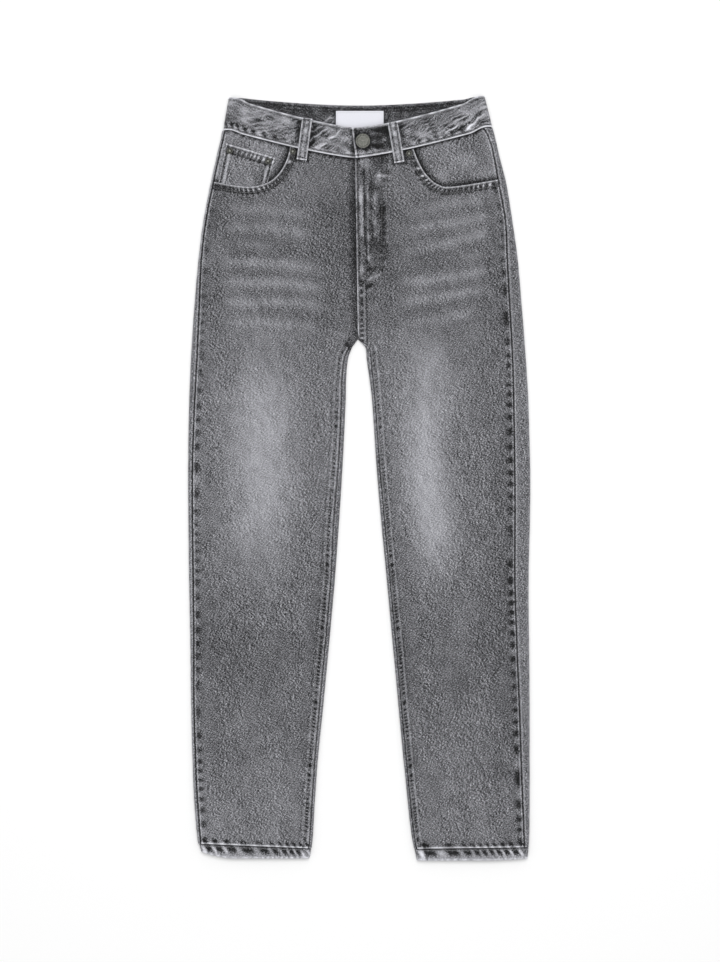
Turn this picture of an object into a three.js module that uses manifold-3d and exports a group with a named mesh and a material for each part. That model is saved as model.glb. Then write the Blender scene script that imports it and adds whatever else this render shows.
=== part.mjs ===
// A pair of high-waisted, five-pocket denim trousers with straight tapered legs, laid flat on their back.
// Millimetres. +Z is up, +Y points from the hems to the waist and +X to the wearer's left side.
// The origin is on the ground, under the middle of the laid trousers.
import * as THREE from "three";
import { mergeVertices } from "three/addons/utils/BufferGeometryUtils.js";
import Module from "manifold-3d";

const wasm = await Module();
wasm.setup();
const { clamp, smoothstep, lerp } = THREE.MathUtils;

// Cloth
const CLOTH = 1.3; // one wall of denim
const SEAM = 0.3; // clearance between two pieces at a seam, or between a patch and what it lies on
const HALF_SEAM = SEAM / 2;
const FOLD = 2.5; // outer radius of the fold down each side of a leg
const CROWN = 1; // how far the front stands above the folds in the middle of a leg
const CROWN_RUN = 18; // how fast it rises there, in from the fold

// Waistband, hem and patches
const BAND = 2.4; // doubled cloth of the waistband
const BAND_FOLD = 4; // outer radius of the waistband's folds at the sides
const BAND_UNDER = 0.8; // how far the buttoned-over end presses down the end below it
const HEM = 2.4; // cloth turned up twice
const HEM_FOLD = 3.2; // outer radius of the hem's folds
const PATCH = 1; // a patch pocket or loop that is pressed flat under the trousers
const FACING = 1; // the thinner facing behind a front pocket's mouth
const COIN = 1.1; // the coin pocket's patch
const LOOP = 1.6; // a folded belt loop's thickness
const LOOP_WIDTH = 13;
const RIVET_RADIUS = 4.1;
const BUTTON_RADIUS = 9.3;

// Landmarks
const CROTCH = { x: -1.3, y: 177 };
const CENTRE_BACK = -1.3;
const FLY_WIDTH = 41; // from the fly's edge to its outer row of stitching
const FLY_END = 285; // where that row curves in to the edge
const UNDERLAP = 8; // how far the right front runs on under the fly
const SUNK = 1.45; // how far the right front dips there
const RAISED = 0.5; // how far the left front stands up there
const BULK = 0.4; // and what the layers behind the fly add

// The outline seen from above: the fold down the outer side of each leg, and how far the side seam lies in
// from it on the front, in sections from the waist to the hem. Both legs count outwards from x = 0.
const OUTER_RIGHT = [
  { y: 450, fold: 173.5, seam: 3.2 },
  { y: 430, fold: 177.5, seam: 3.2 },
  { y: 411, fold: 182, seam: 3.2 },
  { y: 377, fold: 189.5, seam: 3.2 },
  { y: 331, fold: 198.5, seam: 3.2 },
  { y: 280, fold: 205, seam: 3.6 },
  { y: 228, fold: 209.8, seam: 6 },
  { y: 165, fold: 214.2, seam: 7.6 },
  { y: 100, fold: 216.9, seam: 7 },
  { y: 24, fold: 218.2, seam: 5.5 },
  { y: -53, fold: 218.2, seam: 5.4 },
  { y: -130, fold: 217, seam: 5.2 },
  { y: -207, fold: 215.5, seam: 4.4 },
  { y: -284, fold: 214.5, seam: 3.6 },
  { y: -360, fold: 212.5, seam: 3.8 },
  { y: -411, fold: 210.5, seam: 4.2 },
  { y: -463, fold: 206, seam: 3.8 },
  { y: -489, fold: 201.5, seam: 3.6 },
];
const OUTER_LEFT = [
  { y: 450, fold: 170.5, seam: 12.5 },
  { y: 435, fold: 174.5, seam: 8.4 },
  { y: 411, fold: 180, seam: 7.6 },
  { y: 377, fold: 188.5, seam: 9.8 },
  { y: 331, fold: 196, seam: 9 },
  { y: 280, fold: 203, seam: 13.5 },
  { y: 228, fold: 207.5, seam: 15.2 },
  { y: 165, fold: 212.5, seam: 16.7 },
  { y: 100, fold: 216.5, seam: 18.7 },
  { y: 24, fold: 218.6, seam: 19.7 },
  { y: -10, fold: 219, seam: 19.7 },
  { y: -53, fold: 218.6, seam: 19.2 },
  { y: -130, fold: 217, seam: 17.7 },
  { y: -207, fold: 217.5, seam: 15.8 },
  { y: -284, fold: 218.2, seam: 13.4 },
  { y: -360, fold: 218.3, seam: 11 },
  { y: -411, fold: 218.2, seam: 9 },
  { y: -463, fold: 217.6, seam: 6.4 },
  { y: -489, fold: 215.5, seam: 4 },
];
// The same for the inner side of each leg and the inside-leg seam, from just under the crotch.
const INNER_RIGHT = [
  { y: 175, fold: 3.6, seam: 3.2 },
  { y: 170, fold: 7.6, seam: 3.4 },
  { y: 165, fold: 10.2, seam: 3.8 },
  { y: 152, fold: 14.2, seam: 5 },
  { y: 126, fold: 16.4, seam: 5.6 },
  { y: 100, fold: 17, seam: 5.8 },
  { y: 24, fold: 20.5, seam: 5.8 },
  { y: -53, fold: 25.3, seam: 7.2 },
  { y: -130, fold: 30.9, seam: 5.4 },
  { y: -207, fold: 37.8, seam: 5.2 },
  { y: -284, fold: 45, seam: 5 },
  { y: -360, fold: 52.8, seam: 4 },
  { y: -411, fold: 56.4, seam: 3.8 },
  { y: -463, fold: 59.6, seam: 4 },
  { y: -489, fold: 63.4, seam: 4 },
];
const INNER_LEFT = [
  { y: 175, fold: 1.6, seam: 3.4 },
  { y: 170, fold: 7, seam: 4.6 },
  { y: 165, fold: 9, seam: 5.8 },
  { y: 152, fold: 10, seam: 5.8 },
  { y: 126, fold: 13.8, seam: 4.8 },
  { y: 100, fold: 16.8, seam: 4.2 },
  { y: 24, fold: 22, seam: 4.4 },
  { y: -53, fold: 28.3, seam: 4.8 },
  { y: -130, fold: 35.6, seam: 4.6 },
  { y: -207, fold: 42.9, seam: 4.4 },
  { y: -284, fold: 50, seam: 4.2 },
  { y: -360, fold: 57.2, seam: 4 },
  { y: -411, fold: 62.4, seam: 3.8 },
  { y: -463, fold: 68.6, seam: 3.6 },
  { y: -489, fold: 74.5, seam: 3.6 },
];

// A smooth curve through one column of a table whose rows go down in y.
function column(table, name) {
  const last = table.length - 1;
  const slope = (i) => {
    const above = table[Math.max(i - 1, 0)];
    const below = table[Math.min(i + 1, last)];
    return (below[name] - above[name]) / (below.y - above.y);
  };
  return (wanted) => {
    const y = clamp(wanted, table[last].y, table[0].y);
    const next = table.findIndex((row) => row.y <= y);
    const i = clamp(next - 1, 0, last - 1);
    const step = table[i + 1].y - table[i].y;
    const t = (y - table[i].y) / step;
    const rest = 1 - t;
    return (
      table[i][name] * rest * rest * (1 + 2 * t) +
      table[i + 1][name] * t * t * (1 + 2 * rest) +
      step * t * rest * (slope(i) * rest - slope(i + 1) * t)
    );
  };
}

// Each leg counts x outwards from the middle; side turns that back into the part's own x.
const leg = (side, outer, inner, hem) => ({
  side,
  fold: column(outer, "fold"),
  seam: column(outer, "seam"),
  innerFold: column(inner, "fold"),
  innerSeam: column(inner, "seam"),
  hem,
});
const RIGHT = leg(-1, OUTER_RIGHT, INNER_RIGHT, { outer: -467, inner: -473, edge: -485.5, rise: 8.5, run: 45 });
const LEFT = leg(1, OUTER_LEFT, INNER_LEFT, { outer: -471.5, inner: -473.5, edge: -488.2, rise: 2.4, run: 60 });
const LEGS = { right: RIGHT, left: LEFT };

// Where the waistband folds at the wearer's right and left side, along its lower and its upper edge, and over how
// far each seam line comes to that point
const BAND_SIDES = {
  right: { side: -1, low: { x: 173.5, y: 444.8, run: 24 }, high: { x: 166.5, y: 486.8, run: 28 } },
  left: { side: 1, low: { x: 170.5, y: 449, run: 28 }, high: { x: 160.5, y: 488.8, run: 28 } },
};

// Seam lines, as y over x
const centreFront = (y) => lerp(-1.4, -5, (y - CROTCH.y) / 235);
const arch = (x, middle, rise, half, power) => middle + rise * (Math.abs(x) / half) ** power;
function intoSides(x, y, edge) {
  const end = (x < 0 ? BAND_SIDES.right : BAND_SIDES.left)[edge];
  return lerp(y, end.y, smoothstep(Math.abs(x), end.x - end.run, end.x - BAND_FOLD));
}
const frontTop = (x) => intoSides(x, arch(x + 3, 448, 39, 163, 1.3), "high");
const frontWaist = (x) => intoSides(x, arch(x + 5, 409.2, 38, 172, 1.3), "low");
const backTop = (x) => intoSides(x, arch(x, 477, 11, 163, 1.7), "high");
const backWaist = (x) => intoSides(x, arch(x, 438, 11, 172, 2), "low");
const yokeSeam = (x) => arch(x, 374, 58, 175, 1);
const hemSeam = (one, out) => {
  const share = (one.fold(-475) - out) / (one.fold(-475) - one.innerFold(-475));
  return lerp(one.hem.outer, one.hem.inner, clamp(share, 0, 1));
};
// The hem's lower edge turns up towards the outer side.
const hemEdge = (one, out) => {
  const { edge, rise, run } = one.hem;
  const corner = clamp((one.fold(-484) - out) / run, 0, 1);
  return edge + rise * (1 - Math.sin((corner * Math.PI) / 2));
};

// The mouths of the two front pockets, from the waistband round to the side seam, as the wearer's right and left.
const spline = (points) => new THREE.SplineCurve(points.map(([x, y]) => new THREE.Vector2(x, y))).getPoints(26);
const MOUTH_RIGHT = spline([[-86.5, 431], [-91.5, 409], [-102.5, 389.5], [-118.5, 377.3], [-145, 372.8], [-194, 380.5]]);
const MOUTH_LEFT = spline([[66, 431], [75.5, 406], [86.5, 387.5], [102, 375], [122, 373], [194, 384.5]]);

// Faded creases across the hips: the height of each at 110 mm from the middle, its tilt outwards, and its ends.
const HIP_CREASES = [
  { side: -1, y: 341.5, tilt: 0.08, from: 55, to: 178, high: 0.35 },
  { side: -1, y: 317.5, tilt: 0.09, from: 52, to: 180, high: 0.4 },
  { side: -1, y: 296, tilt: 0.06, from: 95, to: 172, high: 0.3 },
  { side: -1, y: 273.5, tilt: 0.09, from: 40, to: 186, high: 0.5 },
  { side: -1, y: 248.5, tilt: 0.07, from: 35, to: 186, high: 0.5 },
  { side: -1, y: 224, tilt: 0.06, from: 35, to: 184, high: 0.45 },
  { side: -1, y: 197, tilt: 0.06, from: 40, to: 180, high: 0.35 },
  { side: 1, y: 348, tilt: 0.15, from: 50, to: 172, high: 0.3 },
  { side: 1, y: 325.5, tilt: 0.19, from: 45, to: 176, high: 0.4 },
  { side: 1, y: 301, tilt: 0.24, from: 50, to: 178, high: 0.45 },
  { side: 1, y: 283, tilt: 0.04, from: 112, to: 176, high: 0.3 },
  { side: 1, y: 257.5, tilt: 0.15, from: 42, to: 176, high: 0.5 },
  { side: 1, y: 233.5, tilt: 0.13, from: 42, to: 172, high: 0.45 },
  { side: 1, y: 207, tilt: 0.17, from: 48, to: 160, high: 0.35 },
];
const CREASE_WIDTH = 9;
function hipCreases(x, y) {
  const out = Math.abs(x);
  return HIP_CREASES.filter((crease) => crease.side * x > 0).reduce((sum, crease) => {
    const across = (y - crease.y - crease.tilt * (out - 110)) / CREASE_WIDTH;
    const along = smoothstep(out, crease.from, crease.from + 30) * (1 - smoothstep(out, crease.to - 30, crease.to));
    return sum + crease.high * along * Math.exp(-across * across);
  }, 0);
}

// Height of the front's outer face above the ground, before the fly is laid over.
function frontHeight(x, y) {
  const one = x < centreFront(y) ? RIGHT : LEFT;
  const out = x * one.side;
  const toOuter = one.fold(y) - out;
  const toInner = y < CROTCH.y ? out - one.innerFold(y) : Math.hypot(x - CROTCH.x, y - CROTCH.y);
  const inside = Math.max(Math.min(toOuter, toInner) - FOLD, 0);
  return 2 * FOLD + CROWN * (1 - Math.exp(-inside / CROWN_RUN)) + hipCreases(x, y);
}

// The right front dips to run under the fly, and the left front stands up over it.
function frontOuter(one, x, y) {
  const fromEdge = Math.abs(x - centreFront(y));
  const present = smoothstep(y, 179, 190);
  if (one === RIGHT) {
    const under = x > centreFront(y) ? 1 : 1 - smoothstep(fromEdge, 0, 15);
    return frontHeight(x, y) - SUNK * under * present;
  }
  const lap = RAISED * (1 - smoothstep(fromEdge, 10, 26));
  const layers = BULK * (1 - smoothstep(fromEdge, FLY_WIDTH - 6, FLY_WIDTH + 3)) * smoothstep(y, FLY_END - 8, FLY_END + 20);
  return frontHeight(x, y) + (lap + layers) * present;
}

// A closed wall between two grids of points, rows along the cloth and columns across it. A ring closes on itself.
function wall(outer, inner, ring = false) {
  const rows = outer.length;
  const across = outer[0].length;
  const points = [outer, inner].flat(2);
  const at = (layer, i, j) => (layer * rows + i) * across + (j % across);
  const index = [];
  const quad = (a, b, c, d) => index.push(a, b, c, a, c, d);
  const cells = ring ? across : across - 1;
  for (let j = 0; j < cells; j++) {
    for (let i = 0; i < rows - 1; i++) {
      quad(at(0, i, j), at(0, i, j + 1), at(0, i + 1, j + 1), at(0, i + 1, j));
      quad(at(1, i, j), at(1, i + 1, j), at(1, i + 1, j + 1), at(1, i, j + 1));
    }
    quad(at(0, 0, j), at(1, 0, j), at(1, 0, j + 1), at(0, 0, j + 1));
    quad(at(0, rows - 1, j), at(0, rows - 1, j + 1), at(1, rows - 1, j + 1), at(1, rows - 1, j));
  }
  for (let i = 0; i < rows - 1 && !ring; i++) {
    quad(at(0, i, 0), at(0, i + 1, 0), at(1, i + 1, 0), at(1, i, 0));
    quad(at(0, i, cells), at(1, i, cells), at(1, i + 1, cells), at(0, i + 1, cells));
  }
  const geometry = new THREE.BufferGeometry();
  geometry.setAttribute("position", new THREE.Float32BufferAttribute(points.flatMap((p) => p.toArray()), 3));
  geometry.setIndex(index);
  return facingOut(geometry);
}

// Turns a closed geometry's faces round if they point inwards.
function facingOut(geometry) {
  const place = geometry.getAttribute("position");
  const index = geometry.index.array;
  const [a, b, c] = [new THREE.Vector3(), new THREE.Vector3(), new THREE.Vector3()];
  let volume = 0;
  for (let i = 0; i < index.length; i += 3) {
    a.fromBufferAttribute(place, index[i]);
    b.fromBufferAttribute(place, index[i + 1]);
    c.fromBufferAttribute(place, index[i + 2]);
    volume += a.dot(b.cross(c));
  }
  if (volume < 0) for (let i = 0; i < index.length; i += 3) [index[i + 1], index[i + 2]] = [index[i + 2], index[i + 1]];
  return geometry;
}

// Between a three.js geometry and a solid that can be cut and joined
function solid(geometry) {
  const bare = geometry.clone();
  bare.deleteAttribute("normal");
  bare.deleteAttribute("uv");
  const merged = mergeVertices(bare, 1e-4);
  return new wasm.Manifold(
    new wasm.Mesh({
      numProp: 3,
      vertProperties: merged.getAttribute("position").array,
      triVerts: new Uint32Array(merged.index.array),
    }),
  );
}
function geometryOf(made) {
  const mesh = made.getMesh();
  const geometry = new THREE.BufferGeometry();
  geometry.setAttribute("position", new THREE.BufferAttribute(new Float32Array(mesh.vertProperties), 3));
  geometry.setIndex(new THREE.BufferAttribute(new Uint32Array(mesh.triVerts), 1));
  return geometry;
}

// An upright prism over an outline in plan, to cut cloth with or to lie as a patch
const TALL = 30;
function prism(outline, low = -TALL, high = TALL) {
  const geometry = new THREE.ExtrudeGeometry(new THREE.Shape(outline), { depth: high - low, bevelEnabled: false });
  return solid(geometry.translate(0, 0, low));
}
const point2 = (x, y) => new THREE.Vector2(x, y);
const spread = (from, to, count) => Array.from({ length: count + 1 }, (_, i) => lerp(from, to, i / count));
// The outline of what lies between two seam lines, from one x to another
function between(lower, upper, from, to, count = 24) {
  const across = spread(from, to, count);
  return [
    ...across.map((x) => point2(x, lower(x))),
    ...across.reverse().map((x) => point2(x, upper(x))),
  ];
}
// An outline moved outwards all round, or inwards by a negative distance
function grown(outline, distance) {
  const turn = Math.sign(THREE.ShapeUtils.area(outline));
  const count = outline.length;
  return outline.map((corner, i) => {
    const before = corner.clone().sub(outline[(i + count - 1) % count]).normalize();
    const after = outline[(i + 1) % count].clone().sub(corner).normalize();
    const normalBefore = point2(before.y, -before.x).multiplyScalar(turn);
    const normalAfter = point2(after.y, -after.x).multiplyScalar(turn);
    const middle = normalBefore.clone().add(normalAfter).normalize();
    return corner.clone().addScaledVector(middle, distance / Math.max(middle.dot(normalAfter), 0.5));
  });
}

// Rows along the garment, closer together over the hips and at the crotch
const steps = (from, to, step) => spread(from, to, Math.round((from - to) / step)).slice(0, -1);
const WAIST_ROWS = steps(456, 386, 14);
const CROTCH_ROWS = [206, 198, 189, 180, 176, 173.5, 171, 167, 162, 155, 148];
const LEG_ROWS = [...steps(132, -464, 60), -464, -480];
const FRONT_ROWS = [...WAIST_ROWS, ...steps(386, 206, 9), ...CROTCH_ROWS, ...LEG_ROWS];
const BACK_ROWS = [...WAIST_ROWS, ...steps(386, 206, 18), ...CROTCH_ROWS, ...LEG_ROWS];
const WRAP = { open: 176, closed: 171 }; // the back comes round to the front between these below the crotch
const wrapShare = (y) => lerp(1, 0.55, clamp((y - WRAP.closed) / (WRAP.open - WRAP.closed), 0, 1));
const frontShare = (y) => clamp((1.5 * (WRAP.open - y)) / (WRAP.open - WRAP.closed), 0, 1);
// Columns across the front: how far each lies in from the side seam, or from the middle or inside-leg seam
const FROM_SIDE = [0, 7, 18, 36];
const FROM_MIDDLE = [56, 46, 36, 26, 15, 7, 0];
const LIMIT = 600; // beyond the garment

// The front of one leg and hip, from the side seam to the middle or to the inside-leg seam
function frontColumns(one, y) {
  const outer = one.fold(y) - one.seam(y) - HALF_SEAM;
  const isLeg = y < CROTCH.y;
  const seam = one.innerSeam(y) * frontShare(y);
  const inner = isLeg ? one.innerFold(y) + seam + HALF_SEAM : one.side * centreFront(y) + HALF_SEAM;
  const [last, first] = [outer - FROM_SIDE.at(-1), inner + FROM_MIDDLE[0]];
  const columns = [
    ...FROM_SIDE.map((distance) => outer - distance),
    ...spread(last, first, 3).slice(1, -1),
    ...FROM_MIDDLE.map((distance) => inner + distance),
  ];
  // The right front runs on under the fly; elsewhere its last column stays at the edge.
  const lap = one === RIGHT && !isLeg ? UNDERLAP * smoothstep(y, 189, 198) : 0;
  return one === RIGHT ? [...columns, inner - Math.max(lap, 0.05)] : columns;
}
function frontWall(one) {
  const grid = (drop) =>
    FRONT_ROWS.map((y) =>
      frontColumns(one, y).map((out) => new THREE.Vector3(one.side * out, y, frontOuter(one, one.side * out, y) - drop)),
    );
  return wall(grid(0), grid(CLOTH));
}

// The section of one leg or hip's back, from the side seam on the front, round the fold, along the ground,
// and at a leg round the inner fold to the inside-leg seam. Just below the crotch it comes round only
// part of the way. deep is how far the points lie inside the outer face.
const ARC_STEPS = 4;
const GROUND_STEPS = 6;
function backSection(one, y, deep, shape = { fold: FOLD, extra: 0 }) {
  const { fold, extra } = shape;
  const top = (out) => frontHeight(one.side * out, y) + extra - deep;
  const outer = one.fold(y);
  const isLeg = y < CROTCH.y;
  const inner = isLeg ? one.innerFold(y) : one.side * CENTRE_BACK + HALF_SEAM;
  const arc = (centre, from, to, count = ARC_STEPS) =>
    spread(from, to, count).map((angle) => [centre + (fold - deep) * Math.cos(angle), fold + (fold - deep) * Math.sin(angle)]);
  const flatFrom = outer - fold;
  const flatTo = isLeg ? inner + fold : inner + 14;
  const section = [
    ...spread(outer - one.seam(y) + HALF_SEAM, flatFrom, 2).slice(0, -1).map((out) => [out, top(out)]),
    ...arc(flatFrom, Math.PI / 2, -Math.PI / 2),
    ...spread(flatFrom, flatTo, GROUND_STEPS).slice(1, -1).map((out) => [out, deep]),
  ];
  const share = wrapShare(y);
  const seam = inner + one.innerSeam(y) - HALF_SEAM;
  if (isLeg && share === 1) {
    section.push(...arc(flatTo, -Math.PI / 2, -Math.PI * 1.5), [seam, top(seam)]);
  } else if (isLeg) {
    section.push(...arc(flatTo, -Math.PI / 2, -Math.PI * (0.5 + share), ARC_STEPS + 1));
  } else {
    section.push(...spread(flatTo, inner, ARC_STEPS + 1).map((out) => [out, deep]));
  }
  return section.map(([out, z]) => new THREE.Vector3(one.side * out, y, z));
}
const backWall = (one) =>
  wall(
    BACK_ROWS.map((y) => backSection(one, y, 0)),
    BACK_ROWS.map((y) => backSection(one, y, CLOTH)),
  );

// Lays a piece of cloth over flat patches that are pressed between it and the ground.
function laidOver(cloth, outlines) {
  return outlines.reduce(
    (made, outline) =>
      made
        .add(prism(grown(outline, SEAM + CLOTH), 0, PATCH + SEAM + CLOTH))
        .subtract(prism(grown(outline, SEAM), -TALL, PATCH + SEAM)),
    cloth,
  );
}

// The patch pocket on each side of the seat: its own outline, placed and turned on the back
const BACK_POCKET = { wide: 132, narrow: 116, side: 118, point: 20, x: 94, y: 363, lean: 0.14 };
function backPocketOutline(one) {
  const { wide, narrow, side, point, x, y, lean } = BACK_POCKET;
  const corners = [
    [-wide / 2, 0],
    [wide / 2, 0],
    [narrow / 2, -side],
    [0, -side - point],
    [-narrow / 2, -side],
  ];
  return corners.map(([across, up]) => {
    const placed = point2(across, up).rotateAround(point2(0, 0), lean);
    return point2(one.side * (x + placed.x), y + placed.y);
  });
}
const LOOP_BELOW = 9; // how far a belt loop reaches below the waistband
const BACK_LOOPS = { right: -96, centre: CENTRE_BACK, left: 94 };
const backLoopOutline = (x) => {
  const [low, high] = [backWaist(x) - LOOP_BELOW, backTop(x) - 1];
  const half = LOOP_WIDTH / 2;
  return [point2(x - half, low), point2(x + half, low), point2(x + half, high), point2(x - half, high)];
};
const backLoopOutlines = Object.values(BACK_LOOPS).map(backLoopOutline);

// Pieces cut from the two walls of each side
const aboveHem = (one) => (x) => hemSeam(one, x * one.side) + HALF_SEAM;
function frontPanel(one, mouth) {
  const region = prism(between(aboveHem(one), (x) => frontWaist(x) - HALF_SEAM, -230, 230, 60));
  return solid(frontWall(one)).intersect(region).subtract(prism(pocketHole(one, mouth)));
}
function backPanel(one) {
  const cloth = laidOver(solid(backWall(one)), [backPocketOutline(one)]);
  return cloth.intersect(prism(between(aboveHem(one), (x) => yokeSeam(x) - HALF_SEAM, -230, 230, 48)));
}
function yoke(one) {
  const cloth = laidOver(solid(backWall(one)), backLoopOutlines);
  const ends = [CENTRE_BACK + one.side * HALF_SEAM, one.side * 195];
  return cloth.intersect(prism(between((x) => yokeSeam(x) + HALF_SEAM, (x) => backWaist(x) - HALF_SEAM, ...ends, 24)));
}

// What the pocket mouth leaves open, out to the side seam and up to the waistband
function pocketHole(one, mouth) {
  return [...mouth, point2(one.side * 240, mouth.at(-1).y), point2(one.side * 240, 500), point2(mouth[0].x, 500)];
}
const isInside = (outline, x, y) =>
  outline.reduce((odd, a, i) => {
    const b = outline[(i + 1) % outline.length];
    return a.y > y !== b.y > y && x < a.x + ((b.x - a.x) * (y - a.y)) / (b.y - a.y) ? !odd : odd;
  }, false);

// The facing seen inside the pocket mouth runs on under the front, and comes up level with it at the seams.
const FACING_UNDER = 12;
const FACING_RISE = { from: 5, to: 26 };
const FACING_SUNK = CLOTH + SEAM + 0.2;
function facingOuter(one, mouth, x, y) {
  const hole = pocketHole(one, mouth);
  const away = Math.min(...mouth.map((p) => Math.hypot(p.x - x, p.y - y)));
  const up = isInside(hole, x, y) ? smoothstep(away, FACING_RISE.from, FACING_RISE.to) : 0;
  return frontHeight(x, y) - FACING_SUNK * (1 - up);
}
const FACING_ROWS = BACK_ROWS.filter((y) => y > 340);
function sheetOver(one, height, thick) {
  const grid = (drop) =>
    FACING_ROWS.map((y) =>
      spread(one.side * (one.fold(y) - one.seam(y) - HALF_SEAM), one.side * 44, 11).map(
        (x) => new THREE.Vector3(x, y, height(x, y) - drop),
      ),
    );
  return solid(wall(grid(0), grid(thick)));
}
function pocketFacing(one, mouth) {
  const cloth = sheetOver(one, (x, y) => facingOuter(one, mouth, x, y), FACING);
  return cloth
    .intersect(prism(grown(pocketHole(one, mouth), FACING_UNDER)))
    .intersect(prism(between(() => 0, (x) => frontWaist(x) - HALF_SEAM, -230, 230, 60)));
}

// The coin pocket lies on the right facing and goes down behind the pocket mouth.
const COIN_OUTLINE = [point2(-169.5, 428), point2(-107.5, 409.5), point2(-119.5, 366), point2(-183, 366)];
const coinOuter = (x, y) => facingOuter(RIGHT, MOUTH_RIGHT, x, y) + SEAM + COIN;
function coinPocket() {
  return sheetOver(RIGHT, coinOuter, COIN)
    .intersect(prism(COIN_OUTLINE))
    .intersect(prism(grown(pocketHole(RIGHT, MOUTH_RIGHT), -SEAM)));
}

// The waistband is one doubled strip. It starts under the buttoned end, goes round the right side, along the
// back and round the left side, and its left end laps over the start.
const UNDER_END = 27;
const OVER_END = -6.5;
const OVER_STEP = { from: 27.8, to: 34 }; // where the upper end comes down to the level of the rest
const BAND_TOP = 2 * BAND_FOLD;
const UNDER_HEIGHT = BAND_TOP - BAND_UNDER;
function bandHeight(x, isOver) {
  if (isOver) return lerp(UNDER_HEIGHT + SEAM + BAND, BAND_TOP, smoothstep(x, OVER_STEP.from, OVER_STEP.to));
  return lerp(BAND_TOP, UNDER_HEIGHT, smoothstep(x, OVER_END - 12, OVER_END - 3));
}
function bandStations() {
  const flat = (from, to, count, face) =>
    spread(from, to, count).map((share) => ({ share, ...face }));
  const { right, left } = BAND_SIDES;
  const reach = (edge, side) => side.side * (side[edge].x - BAND_FOLD);
  // share runs from 0 at the right fold's centre to 1 at the left one's
  const shareAt = (x) => (x - reach("low", right)) / (reach("low", left) - reach("low", right));
  const turn = (side, from, to) => spread(from, to, 6).slice(1, -1).map((angle) => ({ side, angle }));
  return [
    ...flat(shareAt(UNDER_END), 0, 24, { face: "front" }),
    ...turn(right, Math.PI / 2, Math.PI * 1.5),
    ...flat(0, 1, 30, { face: "back" }),
    ...turn(left, -Math.PI / 2, Math.PI / 2),
    ...flat(1, shareAt(OVER_STEP.to + 2), 14, { face: "front", isOver: true }),
    ...flat(shareAt(OVER_STEP.to + 2), shareAt(OVER_END), 8, { face: "front", isOver: true }).slice(1),
  ];
}
function bandPoint(station, edge, deep) {
  const { right, left } = BAND_SIDES;
  const centre = (side) => side.side * (side[edge].x - BAND_FOLD);
  if (station.side) {
    const radius = BAND_FOLD - deep;
    const { side, angle } = station;
    const y = edge === "low" ? side.low.y + SEAM : side.high.y;
    return new THREE.Vector3(centre(side) + radius * Math.cos(angle), y, BAND_FOLD + radius * Math.sin(angle));
  }
  const x = lerp(centre(right), centre(left), station.share);
  if (station.face === "back") {
    return new THREE.Vector3(x, edge === "low" ? backWaist(x) + SEAM : backTop(x), deep);
  }
  return new THREE.Vector3(x, edge === "low" ? frontWaist(x) + SEAM : frontTop(x), bandHeight(x, station.isOver) - deep);
}
function waistband() {
  const stations = bandStations();
  const rows = (deep) => ["low", "high"].map((edge) => stations.map((station) => bandPoint(station, edge, deep)));
  const grooves = backLoopOutlines.map((outline) => prism(grown(outline, SEAM), -TALL, PATCH + SEAM));
  return grooves.reduce((made, groove) => made.subtract(groove), solid(wall(rows(0), rows(BAND))));
}

// A belt loop on the front: sewn to the panel at its foot, standing clear of the waistband for a belt,
// and down on it again at the top.
const LOOP_STAND = 1.1;
const FRONT_LOOPS = {
  right: { foot: point2(-73.2, 407), head: point2(-66, 460) },
  left: { foot: point2(51.6, 403.8), head: point2(42.8, 455) },
};
function frontLoop(one, { foot, head }) {
  const along = head.clone().sub(foot);
  const aside = point2(along.y, -along.x).normalize().multiplyScalar(LOOP_WIDTH / 2);
  const stations = [0, 0.08, 0.16, 0.24, 0.32, 0.42, 0.55, 0.68, 0.8, 0.9, 0.96, 1];
  const seat = (share) => {
    const on = foot.clone().addScaledVector(along, share);
    const edges = [on.clone().add(aside), on.clone().sub(aside)];
    const isBand = Math.max(...edges.map((p) => p.y - frontWaist(p.x))) > -4;
    const panel = Math.max(...edges.map((p) => frontOuter(one, p.x, p.y)));
    const stand = LOOP_STAND * smoothstep(share, 0.3, 0.5) * (1 - smoothstep(share, 0.75, 0.97));
    return SEAM + (isBand ? BAND_TOP + stand : panel);
  };
  const grid = (lift) =>
    stations.map((share) => {
      const on = foot.clone().addScaledVector(along, share);
      return [-1, 1].map((way) => {
        const p = on.clone().addScaledVector(aside, way);
        return new THREE.Vector3(p.x, p.y, seat(share) + lift);
      });
    });
  return wall(grid(LOOP), grid(0));
}

// The turned-up hem goes all round the leg in one ring.
function hemRing(one) {
  const shape = { fold: HEM_FOLD, extra: 2 * (HEM_FOLD - FOLD) };
  const ring = (line, y, deep) =>
    backSection(one, y, deep, shape)
      .concat(frontPart(y, deep))
      .map((p) => new THREE.Vector3(p.x, line(one, p.x * one.side), p.z));
  const frontPart = (y, deep) =>
    spread(one.innerFold(y) + one.innerSeam(y), one.fold(y) - one.seam(y), 12)
      .slice(1, -1)
      .map((out) => new THREE.Vector3(one.side * out, y, frontHeight(one.side * out, y) + shape.extra - deep));
  const rows = (deep) => [
    ring((side, out) => hemSeam(side, out) - HALF_SEAM, -474, deep),
    ring((side, out) => lerp(hemSeam(side, out), hemEdge(side, out), 0.5), -480, deep),
    ring(hemEdge, -487, deep),
  ];
  return wall(rows(0), rows(HEM), true);
}

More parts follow.
